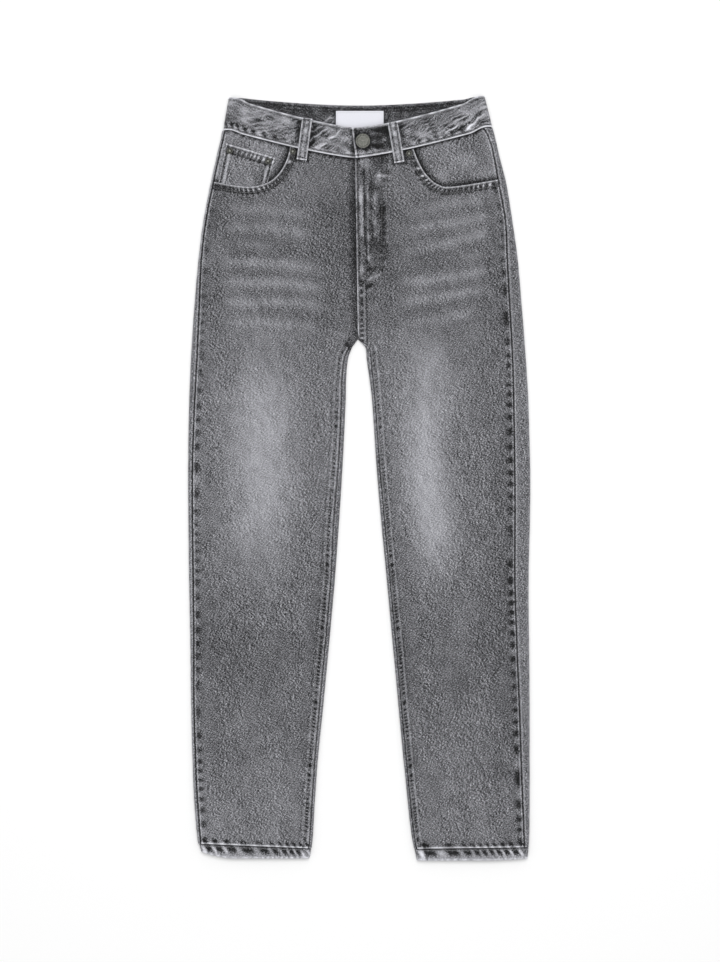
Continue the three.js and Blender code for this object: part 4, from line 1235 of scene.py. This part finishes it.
def back_pocket(side):
    outline = back_pocket_outline(side)
    closed = np.vstack([outline, outline[:1]])

    def look(x, y):
        away, along = beside(closed, x, y)
        relief, fade = band(np.abs(away), along, 8, BACK_ROWS, 7.5, 5, puff=0.0, **BACK_WEAR)
        return np.minimum(relief, 0) - 0.05, fade + 0.2 * mottle(x, y, 14, 18, 51)

    name = f"back_pocket_{side}"
    made = cut_cloth(
        f"{name}_denim", outline, on_ground, PATCH, look, CLOTH_LOOK, down=True, replaced=[name]
    )


def back_loop(name, middle):
    def look(x, y):
        from_long_edge = LOOP_WIDTH / 2 - np.abs(x - middle)
        wear = bump(from_long_edge - 0.6, 1.0) + 0.5 * bump(from_long_edge - 6.5, 1.6)
        return -0.2 * bump(from_long_edge - 2.2, 0.7), 1.1 * wear - 0.2 + 0.2 * ripple(y, 7, 3)

    name = f"belt_loop_back_{name}"
    made = cut_cloth(
        f"{name}_denim",
        back_loop_outline(middle),
        on_ground,
        PATCH,
        look,
        CLOTH_LOOK,
        step=1.6,
        fine=1.0,
        down=True,
        replaced=[name],
    )


# The size label's edges and thickness
LABEL_START, LABEL_END, LABEL_LOW, LABEL_TOP, LABEL = -29.5, 31.5, 440, 470, 1.0


def label_top(x, y):
    return 0 * x + BAND + SEAM + LABEL


def size_label():
    left, right, low, top = LABEL_START, LABEL_END, LABEL_LOW, LABEL_TOP
    outline = [(left, low), (right, low), (right, top), (left, top)]

    def look(x, y):
        folds = 0.12 * ripple(x + 0.4 * y, 26, 2) * (1 - rise(top - y, 2, 20))
        stitched = bump(top - y - 2.2, 0.7) + bump(x - left - 2.1, 0.7) + bump(right - 2.1 - x, 0.7)
        return folds - 0.2 * stitched, 0 * x

    made = cut_cloth(
        "blank_size_label",
        outline,
        label_top,
        LABEL,
        look,
        LABEL_LOOK,
        step=1.6,
        fine=1.0,
        replaced=["size_label"],
        slot="woven_label",
    )


# Waistband: one doubled strip from under the buttoned end, round the back, to the end laid over its start
UNDER_END, OVER_END, OVER_STEP = 27, -6.5, (27.8, 34)
BAND_TOP, UNDER_HEIGHT = 8.0, 7.2
# How wide the strip is, its mesh's spacing, its stations on the back and how far its upper end slants
BAND_WIDE, BAND_SPACING, BAND_BACK, OVER_SLANT = 37.4, 1.15, 170, 2.4
BUTTON_AT = (5, 430.6)
# The foot and the head of each front loop
FRONT_LOOPS = {"right": ((-73.2, 407), (-66, 460)), "left": ((51.6, 403.8), (42.8, 455))}


def band_height(x, over):
    upper = mix(UNDER_HEIGHT + SEAM + BAND, BAND_TOP, rise(x, *OVER_STEP))
    lower = mix(BAND_TOP, UNDER_HEIGHT, rise(x, OVER_END - 12, OVER_END - 3))
    return np.where(over, upper, lower)


def band_stations():
    """For each station along the strip: its face (1 front, -1 back, 0 a side fold), its share of the width
    between the side folds, its angle round a fold and whether it belongs to the upper end."""
    start, end = -(BAND_SIDES["right"]["low"][0] - BAND_FOLD), BAND_SIDES["left"]["low"][0] - BAND_FOLD
    rim = np.array(RIM)
    under = np.concatenate([UNDER_END - rim, np.arange(UNDER_END - 4, start, -BAND_SPACING), [start]])
    over = np.arange(end - BAND_SPACING, OVER_END + 3.6, -BAND_SPACING)
    over = np.concatenate([[end], over, OVER_END + rim[::-1]])
    under, over = (under - start) / (end - start), (over - start) / (end - start)
    back = np.linspace(0, 1, BAND_BACK)
    turn = np.linspace(0, math.pi, 10)[1:-1]
    # In the order of the strip: face, share, angle and whether it is the upper end
    runs = [
        (1, under, 0 * under, False),
        (0, 0 * turn, math.pi / 2 + turn, False),
        (-1, back, 0 * back, False),
        (0, 0 * turn + 1, turn - math.pi / 2, True),
        (1, over, 0 * over, True),
    ]
    return dict(
        face=np.concatenate([np.full(len(share), face) for face, share, _, _ in runs]),
        share=np.concatenate([share for _, share, _, _ in runs]),
        angle=np.concatenate([angle for _, _, angle, _ in runs]),
        over=np.concatenate([np.full(len(share), upper) for _, share, _, upper in runs]),
    )


def band_points(stations, t, deep):
    """Points of the strip at a share t of its height, deep in from its outer face."""
    face, angle = stations["face"][None], stations["angle"][None]
    ends = []
    for edge in ("low", "high"):
        right, left = BAND_SIDES["right"][edge], BAND_SIDES["left"][edge]
        lift = SEAM if edge == "low" else 0
        a, b = -(right[0] - BAND_FOLD), left[0] - BAND_FOLD
        x = mix(a, b, stations["share"])[None] + 0 * deep
        front_y, back_y = (front_waist, back_waist) if edge == "low" else (front_top, back_top)
        side_y = np.where(x < 0, right[1], left[1]) + lift
        y = np.where(face > 0, front_y(x) + lift, np.where(face < 0, back_y(x) + lift, side_y))
        turned_x, turned_z = (BAND_FOLD - deep) * np.cos(angle), (BAND_FOLD - deep) * np.sin(angle)
        off_front = np.where(face < 0, deep, BAND_FOLD + turned_z)
        high = np.where(face > 0, band_height(x, stations["over"]) - deep, off_front)
        ends.append(np.stack([np.where(face == 0, x + turned_x, x), y, high], -1))
    return mix(ends[0], ends[1], t[..., None])


def band_look(x, y, up, down, front, over):
    """Relief and fade of the waistband. up and down are the distances to its lower and upper edges."""
    # The creases lean differently on the right side, in the middle and on the left side
    on_right, on_left = rise(-x, 60, 78), rise(x, 10, 40)
    middle = (1 - on_right) * (1 - rise(x, 4, 14))
    bent = up + 1.4 * mottle(x, y, 9, 8, 67) + 0.8 * mottle(x, y, 4, 4, 68)
    streak = on_right * ripple(bent - 0.42 * x, 9.5, 4) + middle * ripple(bent - 0.85 * x, 9, 2)
    streak = streak + on_left * ripple(bent - 0.34 * x, 8.5, 6)
    fine = on_right * ripple(bent - 0.5 * x, 4.6, 3) + middle * ripple(bent - 1.0 * x, 4.8, 5)
    fine = fine + on_left * ripple(bent - 0.45 * x, 4.4, 1)
    broken = 0.6 + 0.6 * mottle(x + 1.5 * up, up, 13, 7, 64)
    blots = ripple(x + 0.35 * up, 11.5, 5)
    inner = rise(up, 2.5, 6) * rise(down, 2.0, 5)
    low_zone = bump(up - 6.4, 3.3)
    rows = bump(up - 3, 0.7) + bump(down - 3, 0.7)
    relief = 0.15 * streak * inner + 0.15 * blots * low_zone - 0.22 * rows + 0.08 * mottle(x, y, 10, 12, 61)
    creases = 2.4 * (rise(streak, 0.15, 1) - 0.42) * broken + 1.8 * (rise(fine, 0.1, 0.95) - 0.4) * broken
    dark = 2.0 * rise(-streak, 0.4, 1) * rise(mottle(x, y, 16, 9, 65), 0, 0.7)
    fade = 1.0 + (creases - dark) * inner + 0.5 * mottle(x, y, 9, 8, 62)
    fade = fade - 2.6 * (on_right + 0.6 * on_left) * rise(blots, 0.0, 0.8) * low_zone
    fade = fade + 0.9 * rise(-blots, 0.1, 0.9) * low_zone
    fade = fade + 2.0 * (0.65 + 0.45 * ripple(x, 17, 3)) * bump(down - 0.7, 1.2) - 1.2 * bump(down - 3.4, 1.1)
    fade = fade + 2.5 * bump(up - 0.6, 1.1) - 1.9 * bump(up - 2.9, 1.0) + 0.8 * bump(up - 4.9, 0.9)
    # Painted shade beside the front loops, where the cloth is also less worn
    for (foot_x, foot_y), (head_x, head_y) in FRONT_LOOPS.values():
        along = (y - foot_y) / (head_y - foot_y)
        fade = fade - 1.9 * bump(np.abs(x - mix(foot_x, head_x, along)) - 9.0, 4.2) * inner
    # Round the button the cloth is darker and calmer, with a painted shadow ring at the button's edge
    from_button = np.hypot(x - BUTTON_AT[0], y - BUTTON_AT[1])
    puckers = ripple(up - 0.2 * x + 2.2 * np.sin(x / 3.5), 7.5, 1) * bump(x - BUTTON_AT[0] - 17, 9)
    near = bump(from_button, 17)
    relief = relief + 0.3 * puckers - 0.12 * near * (1 - bump(from_button - 15, 5))
    fade = fade * (1 - 0.45 * near) + 1.5 * puckers * inner - 1.5 * near - 1.7 * bump(from_button - 10, 1.8)
    fade = fade - 1.5 * bump(x - 30, 10) * inner + 2.2 * bump(np.hypot(x - 2, (y - 416.5) * 1.2), 6)
    fade = fade + over * (2.6 * bump(x - OVER_END - 0.7, 1.1) - 1.5 * bump(x - OVER_END - 3.9, 1.3))
    # Painted shade on the under end beside the edge of the end laid over it
    fade = fade - 1.3 * (1 - over) * (1 - rise(np.abs(x - OVER_END), 0.5, 6)) * front
    return relief, fade


def band_inner_fade(x, y, down):
    """The inside of the waistband, which shows above the front: a worn top edge over two dark rows."""
    ticks = ripple(x, 3.4, 4)
    fade = -0.65 + 0.45 * mottle(x, y, 9, 6, 63) + 0.4 * mottle(x, y, 4, 4, 66)
    rows = (1.2 + 0.5 * ticks) * bump(down - 4.6, 1.2) + 0.9 * bump(down - 8.2, 1.0)
    fade = fade + 1.0 * bump(down - 0.8, 1.3) - rows
    mark = bump(y - 456.5 - 0.42 * (x + 46) - 1.2 * np.sin(x / 2.2), 1.3) * bump(x + 40, 9)
    return fade + 2.2 * mark


def waistband():
    stations = band_stations()
    near_edge = [0, 0.35, 0.85, 1.6, 2.3, 3.0, 3.7, 4.6]
    low = np.concatenate([near_edge, np.arange(5.7, BAND_WIDE / 2, BAND_SPACING)]) / BAND_WIDE
    t = np.concatenate([low, 1 - low[::-1]])[:, None] + 0 * stations["share"][None]
    flat = band_points(stations, t, 0 * t)
    tall = np.hypot(*np.moveaxis(flat[-1] - flat[0], -1, 0)[:2])[None]
    up, down = t * tall, (1 - t) * tall
    x, y = flat[..., 0], flat[..., 1]
    face = stations["face"][None] + 0 * t
    over = np.broadcast_to(stations["over"][None], t.shape)
    relief, fade = band_look(x, y, up, down, face >= 0, over)
    # The end laid over slants a little
    slant = np.where(over & (face > 0), mix(OVER_SLANT, -OVER_SLANT, t) * (1 - rise(x - OVER_END, 0, 15)), 0)
    from_end = np.where(face > 0, np.where(over, x - OVER_END, UNDER_END - x), 99)
    edge = np.minimum(np.minimum(up, down), from_end)
    ground = face < 0
    relief = np.where(ground, np.minimum(relief * 0.4 - 0.1, 0), relief)
    outer = band_points(stations, t, rim_drop(edge, BAND) - relief)
    lift = sum(lift_over(back_loop_outline(x_at), x, y, PATCH + SEAM) for x_at in BACK_LOOPS.values())
    outer[..., 2] = np.where(ground, np.maximum(outer[..., 2], lift), outer[..., 2])
    inner = band_points(stations, t, BAND - rim_drop(edge, BAND))
    for grid in (outer, inner):
        grid[..., 0] += slant
    made = shell(
        "waistband_denim",
        outer,
        inner,
        BAND_LOOK,
        fade,
        inner_fade=band_inner_fade(x, y, down),
        replaced=["waistband"],
        slot="denim_worn",
    )


def front_loop(side):
    foot, head = (np.array(p, float) for p in FRONT_LOOPS[side])
    along = head - foot
    length = np.hypot(*along)
    half = LOOP_WIDTH / 2
    aside = np.array([along[1], -along[0]]) / length * half
    rim = np.array(RIM)
    mm = np.concatenate([rim, np.arange(4.2, length - 4, 1.4), length - rim[::-1]])
    across = np.concatenate([-half + rim, np.linspace(-half + 3.6, half - 3.6, 5), half - rim[::-1]]) / half
    share = (mm / length)[:, None] + 0 * across[None]
    wide = across[None] + 0 * share
    plan = foot + along * share[..., None] + aside * wide[..., None]
    # What each row lies on: the front panel below the waistband, then the waistband, from which it stands off
    seats = []
    for s in mm / length:
        ends = [foot + along * s + aside * k for k in (-1, 1)]
        on_band = max(p[1] - front_waist(p[0]) for p in ends) > -4
        panel = max(float(front_outer(side, *p)) for p in ends)
        stand = 1.1 * rise(s, 0.3, 0.5) * (1 - rise(s, 0.75, 0.97))
        seats.append(SEAM + (BAND_TOP + stand if on_band else panel))
    seat = np.array(seats)
    seat = np.convolve(np.pad(seat, 3, "edge"), np.ones(7) / 7, "valid")
    seat = np.maximum(seat, seats)[:, None] + 0 * share
    from_long, from_end = half - np.abs(wide) * half, np.minimum(share, 1 - share) * length
    edge = np.minimum(from_long, from_end)
    tacks = bump(from_end - 2.6, 1.2)
    knots = ripple(mm, 6.5, 2)[:, None] + 0 * share
    relief = 0.14 * bump(from_long - 6.5, 2) - 0.25 * bump(from_long - 2.4, 0.7) - 0.2 * tacks
    relief = relief + 0.1 * knots * bump(from_long - 6, 2.5)
    fade = 2.0 * bump(from_long - 0.8, 1.1) + (1.2 + 1.2 * knots) * bump(from_long - 6.5, 2.8)
    fade = fade - 0.9 * bump(from_long - 3.0, 1.1) + 1.7 * bump(from_end - 0.9, 1.4) - 1.5 * tacks
    fade = fade + 0.4 * mottle(plan[..., 0], plan[..., 1], 4, 6, 71)
    top = seat + LOOP + relief - rim_drop(edge, LOOP)
    outer = np.concatenate([plan, top[..., None]], -1)
    inner = np.concatenate([plan, (seat + rim_drop(edge, LOOP))[..., None]], -1)
    name = f"belt_loop_front_{side}"
    made = shell(f"{name}_denim", outer, inner, CLOTH_LOOK, fade, replaced=[name], slot="denim_worn")


# Hems: cloth turned up all round the leg
# Columns across the front, which close the ring
HEM_FRONT = 132


def hem_ring(side):
    """A hem: the section of a back all round, closed by columns across the front."""
    way = WAY[side]
    depths = [0, 0.35, 0.85, 1.6, 2.4, 3.3, 4.3, 5.3, 6.3, 7.3, 8.3, 9.2, 10, 10.9, 11.4, 11.7, 12.0]
    t = (np.array(depths) / depths[-1])[:, None]

    def ring(deep):
        y = -474 - 13 * t + np.zeros(COLUMNS)
        out, z, *_ = section(side, y, HEM_FOLD, deep[:, :COLUMNS], HEM_EXTRA)
        y_front = y[:, :1] + np.zeros(HEM_FRONT)
        share = (np.arange(HEM_FRONT) + 1) / (HEM_FRONT + 1)
        across = mix(inner_line(side, y_front), outer_line(side, y_front), share)
        high = front_height(way * across, y_front) + HEM_EXTRA - deep[:, COLUMNS:]
        out, z = np.hstack([out, across]), np.hstack([z, high])
        line = mix(hem_seam(side, out) - SEAM / 2, hem_edge(side, out), t)
        return np.stack([way * out, line, z], -1)

    flat = ring(np.zeros((len(depths), COLUMNS + HEM_FRONT)))
    x, y, z = np.moveaxis(flat, -1, 0)
    tall = np.abs(flat[-1, :, 1] - flat[0, :, 1])[None]
    up, down = (1 - t) * tall, t * tall
    pulls = hem_pull(side, x, y)
    fine = ripple(x - 0.2 * y, 4.6, 3)
    relief = 0.3 * pulls * bump(down - 6, 4) - 0.3 * bump(down - 2, 0.7) + 0.05 * fine
    from_inner = way * x - inner_fold[side](y) - inner_seam[side](y)
    from_outer = fold[side](y) - side_seam[side](y) - way * x
    plain = rise(from_inner, 9, 12) * rise(from_outer, 3, 8)
    blots = rise(-pulls, -0.5, 0.25) * bump(down - 5.0, 3.9) * mix(0.35, 1, plain)
    thin = bump(rise(pulls, 0.2, 1) - 1, 0.5) * bump(down - 6.5, 4.5)
    fade = 1.1 - 3.5 * blots + 1.7 * thin - 2.2 * bump(down - 0.2, 1.0)
    fade = fade + (1.3 + 0.8 * ripple(x, 9, 4)) * bump(up - 0.9, 1.7) + 0.25 * fine
    top_side = z > 2
    fade = fade + top_side * (0.9 * bump(from_inner - 4, 3) - 1.8 * bump(from_inner - 9.6, 1.2))
    ground = z < 0.4
    relief = np.where(ground, np.minimum(relief * 0.5 - 0.15, 0), relief)
    edge = np.minimum(down, up)
    outer = ring(rim_drop(edge, HEM) - relief)
    inner = ring(HEM - rim_drop(edge, HEM))
    name = f"hem_{side}"
    closed = dict(ring=True, replaced=[name], slot="denim_worn")
    made = shell(f"{name}_denim", outer, inner, CLOTH_LOOK, fade, **closed)


# Stitching
def front_surface(side):
    return lambda x, y: front_outer(side, x, y) + front_look(side, x, y)[0]


def hem_surface(x, y):
    return front_height(x, y) + HEM_EXTRA - 0.1


def band_surface(x, y):
    low, high = front_waist(x) + SEAM, front_top(x)
    over = x > OVER_END
    return band_height(x, over) + band_look(x, y, y - low, high - y, True, over)[0]


THREAD_WIDE, THREAD_SIDES = 0.55, 6


def stitches(name, runs, material=THREAD_LOOK, length=2.7, gap=0.8, slot="denim"):
    """Short rounded threads end to end along lines, each run a line and the height under it."""
    ring = np.linspace(0, 2 * math.pi, THREAD_SIDES, endpoint=False)
    # Where along a stitch its rings lie, and how thick it is there
    ends = np.array([(0, 0.45), (0.14, 1), (0.86, 1), (1, 0.45)])
    points, faces = [], []
    for line, height in runs:
        step = np.hypot(*np.diff(line, axis=0).T)
        at = np.concatenate([[0], np.cumsum(step)])
        starts = np.arange(0.5, at[-1] - length, length + gap)
        a = np.column_stack([np.interp(starts, at, line[:, k]) for k in (0, 1)])
        b = np.column_stack([np.interp(starts + length, at, line[:, k]) for k in (0, 1)])
        a, b = np.column_stack([a, height(*a.T)]), np.column_stack([b, height(*b.T)])
        along = b - a
        aside = np.column_stack([-along[:, 1], along[:, 0], 0 * along[:, 0]])
        aside = aside / np.linalg.norm(aside, axis=1)[:, None]
        for p, d, w in zip(a, along, aside):
            base = len(points)
            for t, size in ends:
                middle = p + d * t + [0, 0, 0.12 if size == 1 else -0.05]
                r = THREAD_WIDE / 2 * size
                for angle in ring:
                    points.append(middle + w * (r * math.cos(angle)) + [0, 0, r * math.sin(angle)])
            walls = quads(len(ends), THREAD_SIDES, ring=True) + base
            faces += capped(walls, base, len(ends), THREAD_SIDES)
    return piece(name, points, faces, material, slot=slot)


def clipped(line, keep):
    return np.array([p for p in line if keep(*p)])


def sew():
    for side, way in WAY.items():
        surface = front_surface(side)
        leg = LINES["leg", side]
        runs = [(moved(leg, way * off)[2:-3], surface) for off in (1.6, 7.3)]
        stitches(f"inside_leg_stitching_{side}", runs)
        mouth = clipped(LINES["mouth", side], lambda x, y: y < front_waist(x) - 3 and abs(x) < 186)
        runs = [(moved(mouth, -way * off), surface) for off in (1.8, 7.7)]
        stitches(f"pocket_mouth_stitching_{side}", runs)
        out = mix(inner_fold[side](-480), fold[side](-480), np.linspace(0.02, 0.98, 80))
        line = np.column_stack([way * out, hem_seam(side, out) - 2.1])
        stitches(f"hem_stitching_{side}", [(line, hem_surface)])
    surface = front_surface("left")
    edge = moved(LINES["fly"], 2.4)[1:-2]
    below = clipped(moved(LINES["fly"], 9), lambda x, y: y < 250)[:-2]
    lines = [edge, below, LINES["fly outer"][4:], LINES["fly inner"][4:]]
    lines = [clipped(line, lambda x, y: y < front_waist(x) - 2) for line in lines]
    stitches("fly_stitching", [(line, surface) for line in lines])
    # Each bar tack runs in a tight zigzag from a point by a step
    tacks = []
    for (x, y), (dx, dy) in (((3, 258), (0.4, 13)), ((14, 252), (9, 11))):
        share = np.linspace(0, 1, 22)
        zigzag = 0.8 * (-1) ** np.arange(22)
        tacks.append((np.column_stack([x + dx * share + zigzag, y + dy * share]), surface))
    stitches("fly_bar_tacks", tacks, length=1.4, gap=0.1)
    rows = []
    for start, end in ((-168, OVER_END - 6), (OVER_END + 2, 164)):
        x = np.linspace(start, end, 90)
        rows.append((np.column_stack([x, front_waist(x) + SEAM + 3]), band_surface))
        rows.append((np.column_stack([x, front_top(x) - 3]), band_surface))
    stitches("waistband_stitching", rows, slot="denim_worn")
    x = np.linspace(LABEL_START + 1.5, LABEL_END - 1.5, 30)
    y = np.linspace(LABEL_TOP - 2, LABEL_LOW + 2, 16)
    rows = [np.column_stack([x, 0 * x + LABEL_TOP - 2.2])]
    rows += [np.column_stack([0 * y + at, y]) for at in (LABEL_START + 2.1, LABEL_END - 2.1)]
    stitches("label_stitching", [(row, label_top) for row in rows], PALE_THREAD_LOOK, slot="woven_label")


# Metal
TURNED, DOT_ROUND = 64, 10
# A raised dot's rings: height and width as shares of its size
DOT_RINGS = ((-0.3, 1.0), (0.0, 1.0), (0.55, 0.75), (0.85, 0.35))


def lathe(name, profile, at, replaced, dots=()):
    """A turned piece. Each row of its profile is a radius, a height and how bright the metal is there. Each
    row of dots is a radius, a count, the dots' size and their height."""
    angles = np.linspace(0, 2 * math.pi, TURNED, endpoint=False)
    profile = np.array(profile, float)
    r, z = profile[:, :1], profile[:, 1:2] + 0 * angles[None]
    points = np.stack([at[0] + r * np.cos(angles), at[1] + r * np.sin(angles), at[2] + z], -1).reshape(-1, 3)
    tone = np.repeat(profile[:, 2], TURNED).tolist()
    faces = capped(quads(len(profile), TURNED, ring=True), 0, len(profile), TURNED)
    points = points.tolist()
    for radius, count, size, high in dots:
        for a in np.arange(count) / count * 2 * math.pi:
            base = len(points)
            middle = np.array([at[0] + radius * math.cos(a), at[1] + radius * math.sin(a), at[2] + high])
            for up, wide in DOT_RINGS:
                for b in np.arange(DOT_ROUND) / DOT_ROUND * 2 * math.pi:
                    points.append(middle + size * np.array([wide * math.cos(b), wide * math.sin(b), up]))
            tone += [0.5] * (len(DOT_RINGS) * DOT_ROUND)
            walls = quads(len(DOT_RINGS), DOT_ROUND, ring=True) + base
            faces += capped(walls, base, len(DOT_RINGS), DOT_ROUND)
    return piece(name, points, faces, METAL_LOOK, replaced=replaced, slot="aged_metal", tone=tone)


BUTTON_PROFILE = [
    *[(0.2, 0, -1), (3.4, 0, -1), (3.4, 1.1, -1), (8.4, 1.1, -1), (9.0, 1.3, -1), (9.3, 1.75, -0.9)],
    *[(9.2, 2.25, -0.5), (8.8, 2.55, 0.2), (8.2, 2.6, 0.3), (7.7, 2.35, -0.5), (7.1, 2.3, -0.2)],
    *[(6.2, 2.45, 0.1), (4.4, 2.7, 0.1), (2.4, 2.85, 0.1), (0.2, 2.9, 0.1)],
]
RIVET_PROFILE = [
    *[(0.2, 0, -1), (3.7, 0, -1), (4.0, 0.2, -1), (4.1, 0.45, -0.8), (3.9, 0.75, -0.3), (3.5, 1.0, -0.2)],
    *[(2.8, 1.1, -0.4), (2.2, 0.95, -0.8), (1.8, 0.75, -0.8), (1.3, 0.95, 0.4), (0.7, 1.4, 1)],
    (0.2, 1.55, 1),
]
BUTTON_DOTS = [(7.4, 30, 0.36, 2.3), (5.2, 22, 0.3, 2.62), (3.1, 12, 0.3, 2.8), (1.2, 5, 0.3, 2.86)]


def metal():
    high = float(band_height(np.array(BUTTON_AT[0]), True)) + SEAM
    lathe("waist_button", BUTTON_PROFILE, (*BUTTON_AT, high), ["button"], BUTTON_DOTS)
    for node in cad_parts:
        if node.startswith("rivet"):
            low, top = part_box(node)
            middle = (low + top) / 2 / MM
            lathe(f"{node}_metal", RIVET_PROFILE, (middle.x, middle.y, low.z / MM), [node])
    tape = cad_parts["fly_zip"]
    tape.data.materials.clear()
    tape.data.materials.append(TAPE_LOOK)


# Studio
CAMERA_HIGH, LENS, SENSOR = 3420.0, 100.0, 36.0
# The point straight below the camera
AIM = (1.3, -3.2)
FLOOR_REACH, FLOOR_Z = 8.0, -0.0006
# Each light's place and size in metres and its power
LIGHTS = {"overhead_light": ((0.25, 0.9, 2.6), 1.5, 35), "fill_light": ((-0.6, -1.2, 2.8), 3.0, 16)}


def paper_floor():
    mesh = bpy.data.meshes.new("floor")
    corners = [(x * FLOOR_REACH, y * FLOOR_REACH, FLOOR_Z) for x, y in ((-1, -1), (1, -1), (1, 1), (-1, 1))]
    mesh.from_pydata(corners, [], [(0, 1, 2, 3)])
    floor = bpy.data.objects.new("floor", mesh)
    paper = Paint("white_paper", Roughness=0.9, Specular_IOR_Level=0.1, Base_Color=(0.94, 0.94, 0.94, 1))
    mesh.materials.append(paper.material)
    bpy.context.scene.collection.objects.link(floor)
    return floor


def light(name, place, size, power):
    lamp = bpy.data.lights.new(name, "AREA")
    lamp.size, lamp.energy = size, power
    made = bpy.data.objects.new(name, lamp)
    made.location = place
    made.rotation_euler = (-Vector(place)).to_track_quat("-Z", "Y").to_euler()
    bpy.context.scene.collection.objects.link(made)
    return made


def studio():
    scene = bpy.context.scene
    paper_floor()
    [light(name, *values) for name, values in LIGHTS.items()]
    world = bpy.data.worlds.new("studio")
    world.use_nodes = True
    background = world.node_tree.nodes["Background"]
    background.inputs["Color"].default_value = (1, 1, 1, 1)
    background.inputs["Strength"].default_value = 0.62
    scene.world = world
    camera = bpy.data.cameras.new("camera")
    camera.lens, camera.sensor_width, camera.sensor_height = LENS, SENSOR, SENSOR
    camera.sensor_fit = "VERTICAL"
    camera.clip_end = 50
    viewer = bpy.data.objects.new("camera", camera)
    viewer.location = (AIM[0] * MM, AIM[1] * MM, CAMERA_HIGH * MM)
    scene.collection.objects.link(viewer)
    scene.camera = viewer
    scene.view_settings.view_transform = "Standard"


def build():
    for side in WAY:
        backs(side)
        back_pocket(side)
        pocket_facing(side)
        front_panel(side)
        hem_ring(side)
        front_loop(side)
    coin_pocket()
    waistband()
    for name, middle in BACK_LOOPS.items():
        back_loop(name, middle)
    size_label()
    metal()
    sew()


build()
studio()
